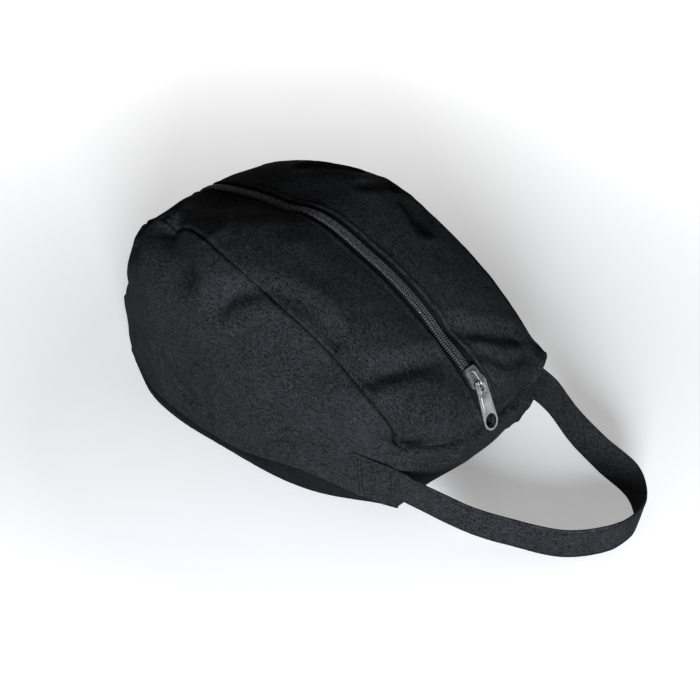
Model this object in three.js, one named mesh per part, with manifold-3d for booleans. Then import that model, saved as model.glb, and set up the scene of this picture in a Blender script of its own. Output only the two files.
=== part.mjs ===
// A soft bag for a motorcycle helmet, shaped like the helmet that lies in it: a high round back, a top
// that slopes down to a low front, and a flat base. One zip runs over the whole top, and a carry strap is
// sewn to the two front corners. Millimetres. +X points to the front, +Z up and -Y to the near side. The
// base lies on the plane Z = 0, and the origin is in the middle of it.
import * as THREE from "three";
import Module from "manifold-3d";
import { mergeVertices } from "three/addons/utils/BufferGeometryUtils.js";

// Cloth body
const LENGTH = 419;
const WIDTH = 280;
const HEIGHT = 228;
const CLOTH = 1.5;
const SEAM_GAP = 0.3;
const BASE_RIM = 14;

// Zip: the chain is the two coil rows together, and the crown edges stand a little clear of the slider.
// The tapes start inside the slot's pointed back end, at this share of its length.
const CHAIN_WIDTH = 11.5;
const CHAIN_HEIGHT = 2.8;
const CHAIN_PART = 0.3;
const TAPE = 1;
const TAPE_WIDTH = 17;
const TAPE_PART = 2.8;
const TAPE_GAP = 0.6;
const CHAIN_GAP = 0.4;
const SHOULDER = 4.25;
const SLOT_ROOM = 1.5;
const TAPE_BACK = 0.1;

// Slider and pull
const SLIDER_LENGTH = 24;
const PLATE = 1.6;
const SLIDER_WALL = 1.3;
const SLIDER_ROOM = 0.5;
const POST_LENGTH = 4;
const POST_ROOM = 0.4;
const BRIDGE_LENGTH = 16;
const BRIDGE_WIDTH = 3.4;
const BRIDGE_WALL = 1.6;
const BAR = 1.2;
const BAR_ROOM = 0.6;
const BAR_LIFT = 1;
const TAB_LENGTH = 50;
const TAB_WIDTH = 18.5;
const TAB_NECK = 14;
const TAB_RIM = 2;
const TAB = 2;
const TAB_WINDOW = 9.5;
const TAB_RISE = 0.4;
const STOP = { length: 3, width: 3.4, height: 1.8 };

// Carry strap
const STRAP_WIDTH = 38;
const STRAP = 2.4;
const STRAP_REACH = 142;
const STRAP_LEAN = 10;
const STRAP_GAP = 0.7;
const FLOOR_GAP = 0.1;

// Where pieces start and end, in stations s from the back (0) to the front seam (1), or in turns t of the
// belt line: 0 back centre, 1 back corner, 3 front corner, 4 front centre
const SLIDER_AT = 0.86;
const ZIP_FRONT = 0.992;
const STRAP_FROM = 2.785;
const STRAP_TO = 2.995;

// Hoops over the body, evenly spaced in s. crestX and foot are shares of LENGTH / 2, half of WIDTH / 2,
// and crestZ, belt and hump of HEIGHT. box is the exponent of the hoop's superellipse. The hump lifts the
// shoulder between belt line and crest, as at the two front corners.
const HOOPS = [
  { crestX: -1.0, crestZ: 0.383, half: 0.727, belt: 0.385, box: 3.4, hump: 0 },
  { crestX: -0.87, crestZ: 0.642, half: 0.906, belt: 0.38, box: 3.8, hump: 0 },
  { crestX: -0.833, crestZ: 0.831, half: 0.98, belt: 0.37, box: 4.0, hump: 0 },
  { crestX: -0.214, crestZ: 0.995, half: 0.998, belt: 0.38, box: 4.0, hump: 0 },
  { crestX: 0.283, crestZ: 0.885, half: 0.996, belt: 0.38, box: 3.5, hump: 0 },
  { crestX: 0.627, crestZ: 0.733, half: 0.95, belt: 0.38, box: 3.1, hump: 0 },
  { crestX: 0.911, crestZ: 0.535, half: 0.875, belt: 0.37, box: 2.5, hump: 0.03 },
  { crestX: 1.0, crestZ: 0.333, half: 0.773, belt: 0.33, box: 1.9, hump: 0.11 },
];
const HUMP = { fall: 1.2, top: 0.357 };
const FOOT = { back: -0.95, front: 0.9 };

// The wall below the belt line at each eighth turn, from the back to the front. inset is how far it leans
// in from the belt line to the floor, as a share of LENGTH / 2, and rim the height of the base's turned-up
// rim, as a share of BASE_RIM: the rim stands highest where the side lifts before the front corner.
const WALL = [
  { inset: 0.124, rim: 1 },
  { inset: 0.07, rim: 1 },
  { inset: 0.03, rim: 1 },
  { inset: 0.027, rim: 1 },
  { inset: 0.048, rim: 0.85 },
  { inset: 0.06, rim: 1.95 },
  { inset: 0.214, rim: 0.65 },
  { inset: 0.378, rim: 0.85 },
  { inset: 0.388, rim: 1 },
];
const SPINE = { back: -0.4, front: 0.48 };

// The seam between crown and side, evenly spaced in s, as a share of the hoop's turn from crest to belt
const GORE = [0.45, 0.43, 0.365, 0.375, 0.46, 0.475, 0.485, 0.52, 0.6, 0.885].map((turn) => ({ turn }));

// Dents in the cloth, each along a line from one place to another. x, y and z are shares of LENGTH / 2,
// WIDTH / 2 and HEIGHT, width and depth of HEIGHT.
const DENTS = [
  { from: [-0.52, -0.14, 0.956], to: [-0.31, 0.04, 0.978], width: 0.21, depth: 0.045 },
  { from: [-0.8, -0.39, 0.825], to: [-0.765, -0.84, 0.755], width: 0.07, depth: 0.03 },
  { from: [-0.6, -0.7, 0.87], to: [-0.39, -0.885, 0.825], width: 0.075, depth: 0.026 },
  { from: [-0.13, -0.96, 0.745], to: [0.02, -0.87, 0.85], width: 0.065, depth: 0.022 },
  { from: [0.02, -0.87, 0.85], to: [0.46, -0.8, 0.69], width: 0.085, depth: 0.022 },
  { from: [0.61, -0.7, 0.66], to: [0.81, -0.23, 0.635], width: 0.075, depth: 0.024 },
  { from: [-0.36, 0.61, 0.95], to: [-0.24, 0.7, 0.93], width: 0.065, depth: 0.024 },
  { from: [-0.04, 0.71, 0.91], to: [0.2, 0.6, 0.885], width: 0.065, depth: 0.026 },
  { from: [0.72, 0.09, 0.67], to: [0.87, 0.6, 0.51], width: 0.07, depth: 0.024 },
  { from: [0.975, 0.21, 0.38], to: [0.96, 0.55, 0.405], width: 0.045, depth: 0.016 },
  { from: [-0.25, 0, 0.97], to: [0.84, 0, 0.57], width: 0.16, depth: 0.03 },
];

// The strap's lower edge from the near front corner round to the far one. out is a share of STRAP_REACH
// from the body's front, side of WIDTH / 2 and lift of STRAP_WIDTH.
const STRAP_PATH = [
  { out: -0.03, side: -0.7, lift: 0.84 },
  { out: 0.1, side: -0.6, lift: 0.5 },
  { out: 0.25, side: -0.49, lift: 0.18 },
  { out: 0.48, side: -0.37, lift: 0.03 },
  { out: 0.8, side: -0.21, lift: 0 },
  { out: 0.96, side: 0.0, lift: 0 },
  { out: 1.0, side: 0.136, lift: 0 },
  { out: 0.98, side: 0.33, lift: 0 },
  { out: 0.78, side: 0.56, lift: 0 },
  { out: 0.46, side: 0.65, lift: 0.08 },
  { out: 0.2, side: 0.68, lift: 0.42 },
  { out: -0.02, side: 0.715, lift: 0.86 },
];

// Where a sewn end of the strap lies on the side panel, from its flared end to the front corner, as shares
// of STRAP_WIDTH
const STRAP_SEAT = [{ low: 0.55, wide: 1.5 }, { low: 0.97, wide: 1 }];

// Cells along and across each piece
const ROWS = 32;
const CROWN_CELLS = 6;
const SIDE_CELLS = 5;
const SKIRT_CELLS = 4;
const RIM_CELLS = 2;
const FLOOR_CELLS = 2;
const STRAP_CELLS = 4;
const STRAP_END_CELLS = 4;
const STRAP_LOOP_CELLS = 34;
const ROUND = 20;
const EVENING = 2;

const BLACK_CLOTH = { color: 0x1f2024, roughness: 0.9, metalness: 0 };
const BASE_CLOTH = { color: 0x1a1b1e, roughness: 0.92, metalness: 0 };
const ZIP_TAPE = { color: 0x202124, roughness: 0.88, metalness: 0 };
const COIL = { color: 0x2c2d30, roughness: 0.45, metalness: 0 };
const GUNMETAL = { color: 0x6f7073, roughness: 0.35, metalness: 1 };
const WEBBING = { color: 0x24262a, roughness: 0.9, metalness: 0 };

const wasm = await Module();
wasm.setup();

const vector = (x, y, z) => new THREE.Vector3(x, y, z);
const steps = (from, to, cells) => {
  return Array.from({ length: cells + 1 }, (_, i) => from + (to - from) * i / cells);
};

// Smooth value of one column of a table whose rows are evenly spaced from 0 to 1
function along(table, column, share) {
  const last = table.length - 1;
  const x = THREE.MathUtils.clamp(share, 0, 1) * last;
  const i = Math.min(Math.floor(x), last - 1);
  const t = x - i;
  const b = table[i][column];
  const c = table[i + 1][column];
  const a = i > 0 ? table[i - 1][column] : 2 * b - c;
  const d = i < last - 1 ? table[i + 2][column] : 2 * c - b;
  const cubic = (3 * b - a - 3 * c + d) * t ** 3 + (2 * a - 5 * b + 4 * c - d) * t ** 2 + (c - a) * t;
  return b + cubic / 2;
}

// A point of the hoop at s: across is its share of the half width, and rise its share of the way up
function hoopPoint(s, across, rise) {
  const foot = LENGTH / 2 * THREE.MathUtils.lerp(FOOT.back, FOOT.front, s);
  const crest = LENGTH / 2 * along(HOOPS, "crestX", s);
  const belt = HEIGHT * along(HOOPS, "belt", s);
  const top = HEIGHT * along(HOOPS, "crestZ", s);
  const half = WIDTH / 2 * along(HOOPS, "half", s);
  const hump = HEIGHT * along(HOOPS, "hump", s) * Math.sqrt(rise) * (1 - rise) ** HUMP.fall / HUMP.top;
  return vector(foot + (crest - foot) * rise, across * half, belt + (top - belt) * rise + hump);
}

// The hoop at a share of its turn from the crest (0) to the near belt line (1)
function hoop(s, turn) {
  const box = along(HOOPS, "box", s);
  const side = Math.sin(turn * Math.PI / 2);
  const top = Math.max(Math.cos(turn * Math.PI / 2), 0);
  const reach = (side ** box + top ** box) ** (-1 / box);
  return hoopPoint(s, -side * reach, top * reach);
}

// The hoop at a distance y from the middle plane
function crown(s, y) {
  const across = y / (WIDTH / 2 * along(HOOPS, "half", s));
  const box = along(HOOPS, "box", s);
  return hoopPoint(s, across, (1 - Math.abs(across) ** box) ** (1 / box));
}

// The share of the turn at which the hoop is y wide of the middle plane
function turnAt(s, y) {
  const across = y / (WIDTH / 2 * along(HOOPS, "half", s));
  const box = along(HOOPS, "box", s);
  return Math.atan2(across, (1 - across ** box) ** (1 / box)) / (Math.PI / 2);
}

// The near wall below the belt line: down is 0 at the belt line and 1 on the floor
function belt(t) {
  return hoop(THREE.MathUtils.clamp((t - 1) / 2, 0, 1), Math.min(t, 1, 4 - t));
}

function skirt(t, down) {
  const point = belt(t);
  const x = THREE.MathUtils.clamp(point.x, SPINE.back * LENGTH / 2, SPINE.front * LENGTH / 2);
  const inward = vector(x - point.x, -point.y, 0).normalize();
  const inset = LENGTH / 2 * along(WALL, "inset", t / 4) * (1 - Math.sqrt(1 - Math.min(down, 1) ** 2));
  point.addScaledVector(inward, inset);
  point.z *= 1 - down;
  return point;
}

// Depth of all dents at a point, fading out towards the base seam
function dent(point) {
  const place = ([x, y, z]) => vector(x * LENGTH / 2, y * WIDTH / 2, z * HEIGHT);
  let depth = 0;
  for (const row of DENTS) {
    const line = new THREE.Line3(place(row.from), place(row.to));
    const away = line.closestPointToPoint(point, true, vector(0, 0, 0)).distanceTo(point);
    depth += row.depth * HEIGHT * Math.exp(-((away / (row.width * HEIGHT)) ** 2));
  }
  return depth * THREE.MathUtils.smoothstep(point.z, BASE_RIM, 3 * BASE_RIM);
}

// Point and outward direction of a surface of two parameters
function frameOf(surface, u, v) {
  const step = 1e-4;
  const point = surface(u, v);
  const du = surface(u + step, v).sub(surface(u - step, v));
  const dv = surface(u, v + step).sub(surface(u, v - step));
  const normal = du.cross(dv).normalize();
  const x = THREE.MathUtils.clamp(point.x, SPINE.back * LENGTH / 2, SPINE.front * LENGTH / 2);
  const outward = point.clone().sub(vector(x, 0, HEIGHT / 3));
  return { point, normal: normal.multiplyScalar(Math.sign(normal.dot(outward))) };
}

const dented = (surface) => (u, v) => {
  const { point, normal } = frameOf(surface, u, v);
  return point.addScaledVector(normal, -dent(point));
};

const crownFrame = (s, y) => frameOf(dented(crown), s, y);

// The body's outer surface, panel by panel, as grids of points. Rows run forwards or round the body, and
// columns outwards or downwards, so every grid faces out the same way.
const slotHalf = CHAIN_WIDTH / 2 + SHOULDER + SLOT_ROOM;

function evenStations(count) {
  const fine = steps(0, 1, 10 * count);
  const lengths = [0];
  for (let i = 1; i < fine.length; i += 1) {
    const top = hoop(fine[i], 0).distanceTo(hoop(fine[i - 1], 0));
    const low = hoop(fine[i], 1).distanceTo(hoop(fine[i - 1], 1));
    lengths.push(lengths[i - 1] + top + low);
  }
  return steps(0, lengths.at(-1), count).map((goal) => {
    const i = Math.max(1, lengths.findIndex((length) => length >= goal - 1e-6));
    const part = (goal - lengths[i - 1]) / (lengths[i] - lengths[i - 1]);
    return THREE.MathUtils.lerp(fine[i - 1], fine[i], part);
  });
}

const stations = evenStations(ROWS);
const zipBack = stations[1];
const slotAt = (s) => slotHalf * Math.min(1, s / zipBack);
const goreAt = (s) => along(GORE, "turn", s);
const crownTurns = (s) => steps(turnAt(s, slotAt(s)), goreAt(s), CROWN_CELLS);
const sideTurns = (s) => steps(goreAt(s), 1, SIDE_CELLS);
const rimDown = (t) => 1 - BASE_RIM * along(WALL, "rim", t / 4) / belt(t).z;
const mirror = (grid) => grid.map((row) => row.map((p) => vector(p.x, -p.y, p.z)).reverse());

function crownGrid() {
  const back = steps(1, 0, SKIRT_CELLS).slice(0, -1);
  return [
    ...back.map((share) => crownTurns(0).map((t) => skirt(t, share * rimDown(t)))),
    ...stations.map((s) => crownTurns(s).map((turn) => hoop(s, turn))),
  ];
}

// The side walls end at the front corners, and the front panel runs from corner to corner
const wallTurns = [...sideTurns(0), ...stations.slice(1).map((s) => 1 + 2 * s)];
const cornerTurns = sideTurns(1).map((turn) => 4 - turn).reverse();
const frontTurns = [...cornerTurns, ...crownTurns(1).map((turn) => 4 - turn).reverse().slice(1)];
const wallColumn = (t) => steps(0, rimDown(t), SKIRT_CELLS).map((down) => skirt(t, down));
const sideGrids = () => [
  stations.map((s) => sideTurns(s).map((turn) => hoop(s, turn))),
  wallTurns.map(wallColumn),
];

// The far half of a grid that runs round the body: the near rows mirrored, in the opposite order
const roundBody = (nearRows) => [
  ...nearRows,
  ...nearRows.map((row) => row.map((p) => vector(p.x, -p.y, p.z))).reverse(),
];

function baseGrid() {
  const turns = [...crownTurns(0).slice(0, -1), ...wallTurns, ...frontTurns.slice(1)];
  return roundBody(turns.map((t) => {
    const start = Math.asin(rimDown(t));
    const rim = steps(start, Math.PI / 2, RIM_CELLS).map((angle) => skirt(t, Math.sin(angle)));
    const edge = rim.at(-1).setZ(0);
    const middle = THREE.MathUtils.clamp(edge.x, SPINE.back * LENGTH / 2, SPINE.front * LENGTH / 2);
    const floor = steps(0, 1, FLOOR_CELLS).slice(1);
    return [...rim, ...floor.map((part) => edge.clone().lerp(vector(middle, 0, 0), part))];
  }));
}

const keyOf = (p) => [p.x, p.y, p.z].map((value) => Math.round(value * 1000)).join();

// Two triangles for each cell of a grid of keys, cut along the shorter diagonal
function cellsOf(grid, points) {
  const cells = [];
  for (let i = 0; i + 1 < grid.length; i += 1) {
    for (let j = 0; j + 1 < grid[i].length; j += 1) {
      const [a, b, c, d] = [grid[i][j], grid[i][j + 1], grid[i + 1][j + 1], grid[i + 1][j]];
      const short = points.get(a).distanceTo(points.get(c)) <= points.get(b).distanceTo(points.get(d));
      cells.push(...(short ? [[a, b, c], [a, c, d]] : [[a, b, d], [b, c, d]]));
    }
  }
  return cells.filter(([a, b, c]) => a !== b && b !== c && c !== a);
}

function normalsOf(cells, points) {
  const normals = new Map([...points.keys()].map((key) => [key, vector(0, 0, 0)]));
  for (const cell of cells) {
    const [a, b, c] = cell.map((key) => points.get(key));
    const area = b.clone().sub(a).cross(c.clone().sub(a));
    cell.forEach((key) => normals.get(key).add(area));
  }
  normals.forEach((normal) => normal.normalize());
  return normals;
}

// Directions blended with their neighbours', so that the wall keeps its thickness round tight corners
function evened(cells, normals) {
  let blended = normals;
  for (let pass = 0; pass < EVENING; pass += 1) {
    const sums = new Map([...blended].map(([key, normal]) => [key, normal.clone()]));
    for (const [a, b, c] of cells) {
      for (const [one, two] of [[a, b], [b, c], [c, a]]) {
        sums.get(one).add(blended.get(two));
        sums.get(two).add(blended.get(one));
      }
    }
    sums.forEach((sum) => sum.normalize());
    blended = sums;
  }
  return blended;
}

// Directed edges that only one cell has, from start to end
function freeEdges(cells) {
  const edges = new Set(cells.flatMap(([a, b, c]) => [`${a} ${b}`, `${b} ${c}`, `${c} ${a}`]));
  return [...edges].map((edge) => edge.split(" ")).filter(([a, b]) => !edges.has(`${b} ${a}`));
}

// A sheet closed into a solid: its outer face, its inner face and a strip along each free edge. Two panels
// cut the strips of their common seam along the same diagonals, so their edges stay parallel.
function closedWall(cells, outer, inner) {
  const keys = [...new Set(cells.flat())];
  const index = new Map(keys.map((key, i) => [key, i]));
  const count = keys.length;
  const faces = [];
  for (const cell of cells) {
    const [a, b, c] = cell.map((key) => index.get(key));
    faces.push(a, b, c, a + count, c + count, b + count);
  }
  for (const edge of freeEdges(cells)) {
    const [a, b] = edge.map((key) => index.get(key));
    const strip = edge[0] < edge[1] ? [b, a, b + count, a, a + count, b + count]
      : [b, a, a + count, b, a + count, b + count];
    faces.push(...strip);
  }
  const places = [outer, inner].flatMap((face) => keys.map((key) => face.get(key)));
  const geometry = new THREE.BufferGeometry();
  const numbers = places.flatMap((p) => p.toArray());
  geometry.setAttribute("position", new THREE.Float32BufferAttribute(numbers, 3));
  geometry.setIndex(faces);
  return geometry;
}

// All cloth panels of the body. Their edges share points and directions, so each seam is mitred, and every
// panel then draws back from its seams by half the seam gap.
function bodyPanels() {
  const points = new Map();
  const keyed = (grid) => grid.map((row) => row.map((p) => {
    const key = keyOf(p);
    if (!points.has(key)) points.set(key, p);
    return key;
  }));
  const nearCrown = crownGrid();
  const nearSide = sideGrids();
  const grids = {
    crown_panel_near: [nearCrown],
    crown_panel_far: [mirror(nearCrown)],
    side_panel_near: nearSide,
    side_panel_far: nearSide.map(mirror),
    front_panel: [roundBody(frontTurns.map(wallColumn))],
    base_panel: [baseGrid()],
  };
  const panels = Object.entries(grids).map(([name, list]) => {
    const cells = list.flatMap((grid) => cellsOf(keyed(grid), points));
    return { name, cells };
  });
  const all = panels.flatMap((panel) => panel.cells);
  const smooth = normalsOf(all, points);
  const outer = new Map([...points].map(([key, p]) => {
    return [key, p.clone().addScaledVector(smooth.get(key), -dent(p))];
  }));
  const normals = evened(all, normalsOf(all, outer));
  return panels.map(({ name, cells }) => {
    const face = new Map(outer);
    for (const [key, shift] of seamShifts(cells, outer, normals)) {
      face.set(key, outer.get(key).clone().add(shift));
    }
    const back = new Map([...face].map(([key, p]) => {
      return [key, p.clone().addScaledVector(normals.get(key), -CLOTH)];
    }));
    return { name, geometry: closedWall(cells, face, back) };
  });
}

// How far each point of a panel's edge moves along the surface, away from the edge
function seamShifts(cells, points, normals) {
  const sides = new Map();
  for (const [a, b] of freeEdges(cells)) {
    const ahead = points.get(b).clone().sub(points.get(a));
    for (const key of [a, b]) {
      const side = normals.get(key).clone().cross(ahead).normalize();
      sides.set(key, [...(sides.get(key) ?? []), side]);
    }
  }
  return [...sides].map(([key, [one, two]]) => {
    const sum = one.clone().add(two);
    return [key, sum.multiplyScalar(SEAM_GAP / 2 / (1 + one.dot(two)))];
  });
}

// A strip of cells over the top, from place(row, column), which gives its outer and inner point
function strip(rows, columns, place) {
  const outer = new Map();
  const inner = new Map();
  const grid = rows.map((row, i) => columns.map((column, j) => {
    const key = `${i},${j}`;
    const [top, under] = place(row, column);
    outer.set(key, top);
    inner.set(key, under);
    return key;
  }));
  return closedWall(cellsOf(grid, outer), outer, inner);
}

// Zip tapes: the crown edges lie on them. The chain lies on both tapes and ends inside the slider.
const tapeTop = -(CLOTH + TAPE_GAP);
const zipStations = (from, to) => {
  return [from, ...stations.filter((s) => s > from + 0.004 && s < to - 0.004), to];
};

function tapeGeometry(side) {
  const widths = [TAPE_PART / 2, CHAIN_WIDTH / 2, slotHalf, TAPE_WIDTH + TAPE_PART / 2];
  const columns = widths.map((y) => y * side).sort((a, b) => b - a);
  return strip(zipStations(TAPE_BACK * zipBack, ZIP_FRONT), columns, (s, y) => {
    const { point, normal } = crownFrame(s, y);
    const top = point.clone().addScaledVector(normal, tapeTop);
    return [top, point.clone().addScaledVector(normal, tapeTop - TAPE)];
  });
}

const middleFrame = (s) => {
  const { point, normal } = crownFrame(s, 0);
  return { point, normal: normal.setY(0).normalize() };
};

function chainGeometry(side, front) {
  const columns = [CHAIN_PART / 2, CHAIN_WIDTH / 2].map((y) => y * side).sort((a, b) => b - a);
  return strip(zipStations(zipBack, front), columns, (s, y) => {
    const { point, normal } = crownFrame(s, y);
    const low = point.clone().addScaledVector(normal, tapeTop + CHAIN_GAP).setY(y);
    return [low.clone().addScaledVector(normal, CHAIN_HEIGHT).setY(y), low];
  });
}

// Solid from a closed geometry, and back
function solid(geometry) {
  const merged = geometry.clone();
  merged.deleteAttribute("normal");
  merged.deleteAttribute("uv");
  const { index, attributes } = mergeVertices(merged, 1e-4);
  return new wasm.Manifold(new wasm.Mesh({
    numProp: 3,
    vertProperties: new Float32Array(attributes.position.array),
    triVerts: new Uint32Array(index.array),
  }));
}

function geometryOf(body) {
  const { vertProperties, triVerts } = body.getMesh();
  const geometry = new THREE.BufferGeometry();
  geometry.setAttribute("position", new THREE.BufferAttribute(new Float32Array(vertProperties), 3));
  geometry.setIndex(new THREE.BufferAttribute(new Uint32Array(triVerts), 1));
  return geometry;
}

const extruded = (shape, depth) => {
  return new THREE.ExtrudeGeometry(shape, { depth, bevelEnabled: false, curveSegments: ROUND / 2 });
};

// A flat outline made thick between two heights
const slab = (shape, low, high) => solid(extruded(shape, high - low).translate(0, 0, low));

const outline = (points) => new THREE.Shape(points.map(([x, y]) => new THREE.Vector2(x, y)));
const bothSides = (half) => outline([...half, ...half.map(([x, y]) => [x, -y]).reverse()]);

// An outline drawn in x and height, made thick across the zip
const crosswise = (shape, width) => {
  return solid(extruded(shape, width).rotateX(Math.PI / 2).translate(0, width / 2, 0));
};

// Slider, in its own frame: x along the zip to the front, y across it and z out of the tape's top
const chainTop = CHAIN_GAP + CHAIN_HEIGHT;
const plateLow = chainTop + SLIDER_ROOM;
const plateTop = plateLow + PLATE;
const barHeight = plateTop + BAR + BAR_LIFT;
const bridgeInner = barHeight + BAR + BAR_ROOM;
const bridgeFront = BRIDGE_LENGTH / 2;
const barAt = bridgeFront - BRIDGE_WALL - BAR_ROOM - BAR;
const postFront = SLIDER_LENGTH / 2 - 3;

// The slider's place on the zip, and the pull's hang: down from the bar until it meets the cloth in front
const seat = middleFrame(SLIDER_AT);
const across = vector(0, 1, 0);
const ahead = across.clone().cross(seat.normal);
const tapePoint = seat.point.clone().setY(0).addScaledVector(seat.normal, tapeTop);
const pivot = tapePoint.clone().addScaledVector(ahead, barAt).addScaledVector(seat.normal, barHeight);

function hangAngle() {
  const front = [
    ...steps(SLIDER_AT, 1, 3 * ROUND).map((s) => crownFrame(s, 0).point),
    ...steps(0, 0.6, ROUND).map((down) => skirt(4, down)),
  ];
  const angles = front.map((point) => {
    const away = point.clone().sub(pivot).setY(0);
    const far = away.length();
    if (far < TAB_LENGTH / 2 || far > TAB_LENGTH + TAB) return Infinity;
    const drop = Math.atan2(-away.dot(seat.normal), away.dot(ahead));
    return drop - Math.asin((TAB / 2 + TAPE_GAP) / far);
  });
  return Math.min(...angles);
}

const hang = hangAngle();
const tabAhead = ahead.clone().multiplyScalar(Math.cos(hang)).addScaledVector(seat.normal, -Math.sin(hang));
const placed = (geometry, forwards, origin) => {
  const basis = new THREE.Matrix4().makeBasis(forwards, across, forwards.clone().cross(across));
  return geometry.applyMatrix4(basis.setPosition(origin));
};

function sliderSolid() {
  const end = SLIDER_LENGTH / 2;
  const narrow = CHAIN_WIDTH / 2 + SLIDER_ROOM + SLIDER_WALL;
  const wide = CHAIN_WIDTH / 2 + SHOULDER;
  const body = slab(bothSides([
    [-end, narrow - 1], [-end + 1.5, narrow], [end * 0.25, wide],
    [end * 0.65, wide - 1], [end * 0.9, wide / 2], [end, 1.2],
  ]), TAPE_GAP / 2, plateTop);
  const channel = slab(bothSides([
    [-end - 1, narrow - SLIDER_WALL], [0, narrow - SLIDER_WALL],
    [end * 0.3, wide - SLIDER_WALL], [end + 1, wide - SLIDER_WALL],
  ]), 0, plateLow);
  const barLow = barHeight - (TAB / 2 + BAR_ROOM / 2) / Math.cos(hang);
  const underTab = (x) => barLow - (x - barAt) * Math.tan(hang);
  const nose = crosswise(outline([
    [barAt, barHeight], [barAt, barLow], [end + 1, underTab(end + 1)], [end + 1, barHeight],
  ]), 3 * wide);
  const footTop = -TAPE - 3 * TAPE_GAP;
  const footOutline = bothSides([[-end * 0.5, narrow - 2], [end * 0.1, narrow - 1], [postFront, 2]]);
  const foot = slab(footOutline, footTop - PLATE / 2, footTop);
  const postHalf = TAPE_PART / 2 - 0.5;
  const postOutline = bothSides([
    [postFront - POST_LENGTH, 0.5], [postFront - POST_LENGTH / 2, postHalf], [postFront, postHalf],
  ]);
  const post = slab(postOutline, footTop - PLATE / 4, plateLow + PLATE / 2);
  return body.subtract(channel).subtract(nose).add(foot).add(post).add(bridgeSolid());
}

function bridgeSolid() {
  const arch = (half, low, top) => outline([[-half, low], [half, low], [half, top - 1.5], [half - 1.5, top],
    [-half + 3, top], [-half, low + (top - low) * 0.4]]);
  const outer = crosswise(arch(bridgeFront, plateTop - PLATE / 2, bridgeInner + BRIDGE_WALL), BRIDGE_WIDTH);
  const inner = crosswise(arch(bridgeFront - BRIDGE_WALL, plateTop, bridgeInner), 2 * BRIDGE_WIDTH);
  return outer.subtract(inner);
}

// Pull, in its own frame: x from the bar to the round end, y across and z out of the bag
function tabSolid() {
  const windowHalf = BRIDGE_WIDTH / 2 + BAR_ROOM + 0.4;
  const round = TAB_WIDTH / 2;
  const centre = TAB_LENGTH - round;
  const onCircle = (radius, angle) => [centre + radius * Math.cos(angle), radius * Math.sin(angle)];
  const end = steps(Math.PI / 2, 0, ROUND / 4).map((angle) => onCircle(round, angle));
  const neck = [[0, TAB_NECK / 2 - 1], [1.5, TAB_NECK / 2]];
  const plate = bothSides([...neck, ...end.slice(0, -1), [TAB_LENGTH, 0.01]]);
  const hole = new THREE.Path(steps(0, 2 * Math.PI, ROUND).slice(1).map((angle) => {
    return new THREE.Vector2(...onCircle(round - TAB_RIM, angle));
  }));
  const gap = new THREE.Path();
  gap.absarc(TAB_WINDOW - windowHalf, 0, windowHalf, -Math.PI / 2, Math.PI / 2, false);
  gap.lineTo(BAR * 0.6, windowHalf);
  gap.lineTo(BAR * 0.6, -windowHalf);
  plate.holes = [hole, gap];
  const bossBack = [TAB_WINDOW + 3, TAB_NECK / 2 - 2.2];
  const boss = bothSides([bossBack, [centre - round + 1, TAB_NECK / 2 - 1.2]]);
  const bar = new THREE.CylinderGeometry(BAR, BAR, TAB_NECK - 2, ROUND / 2);
  return slab(plate, -TAB / 2, TAB / 2).add(slab(boss, 0, TAB / 2 + TAB_RISE)).add(solid(bar));
}

// The station that lies a distance ahead of the slider's middle
function stationAhead(distance) {
  const speed = crown(SLIDER_AT + 0.01, 0).distanceTo(crown(SLIDER_AT - 0.01, 0)) / 0.02;
  return SLIDER_AT + distance / speed;
}

function stopGeometry(side) {
  const from = SLIDER_LENGTH / 2 + 2;
  const columns = [TAPE_PART / 2 + 0.3, TAPE_PART / 2 + 0.3 + STOP.width].map((y) => y * side);
  const rows = [stationAhead(from), stationAhead(from + STOP.length)];
  return strip(rows, columns.sort((a, b) => b - a), (s, y) => {
    const { point, normal } = crownFrame(s, y);
    const low = point.clone().addScaledVector(normal, tapeTop + CHAIN_GAP);
    return [low.clone().addScaledVector(normal, STOP.height), low];
  });
}

// Carry strap: both ends sewn flat on the side panels, and the loop between them standing on its lower edge
const wallAt = (side) => dented((t, height) => {
  const point = skirt(t, 1 - height / belt(t).z);
  return vector(point.x, point.y * side, point.z);
});

function sewnSection(side, t) {
  const share = (t - STRAP_FROM) / (STRAP_TO - STRAP_FROM);
  const low = STRAP_WIDTH * along(STRAP_SEAT, "low", share);
  const wide = STRAP_WIDTH * along(STRAP_SEAT, "wide", share);
  return steps(low, low + wide, STRAP_CELLS).map((height) => {
    const { point, normal } = frameOf(wallAt(side), t, height);
    const under = point.clone().addScaledVector(normal, STRAP_GAP);
    return [under.clone().addScaledVector(normal, STRAP), under];
  });
}

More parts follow.
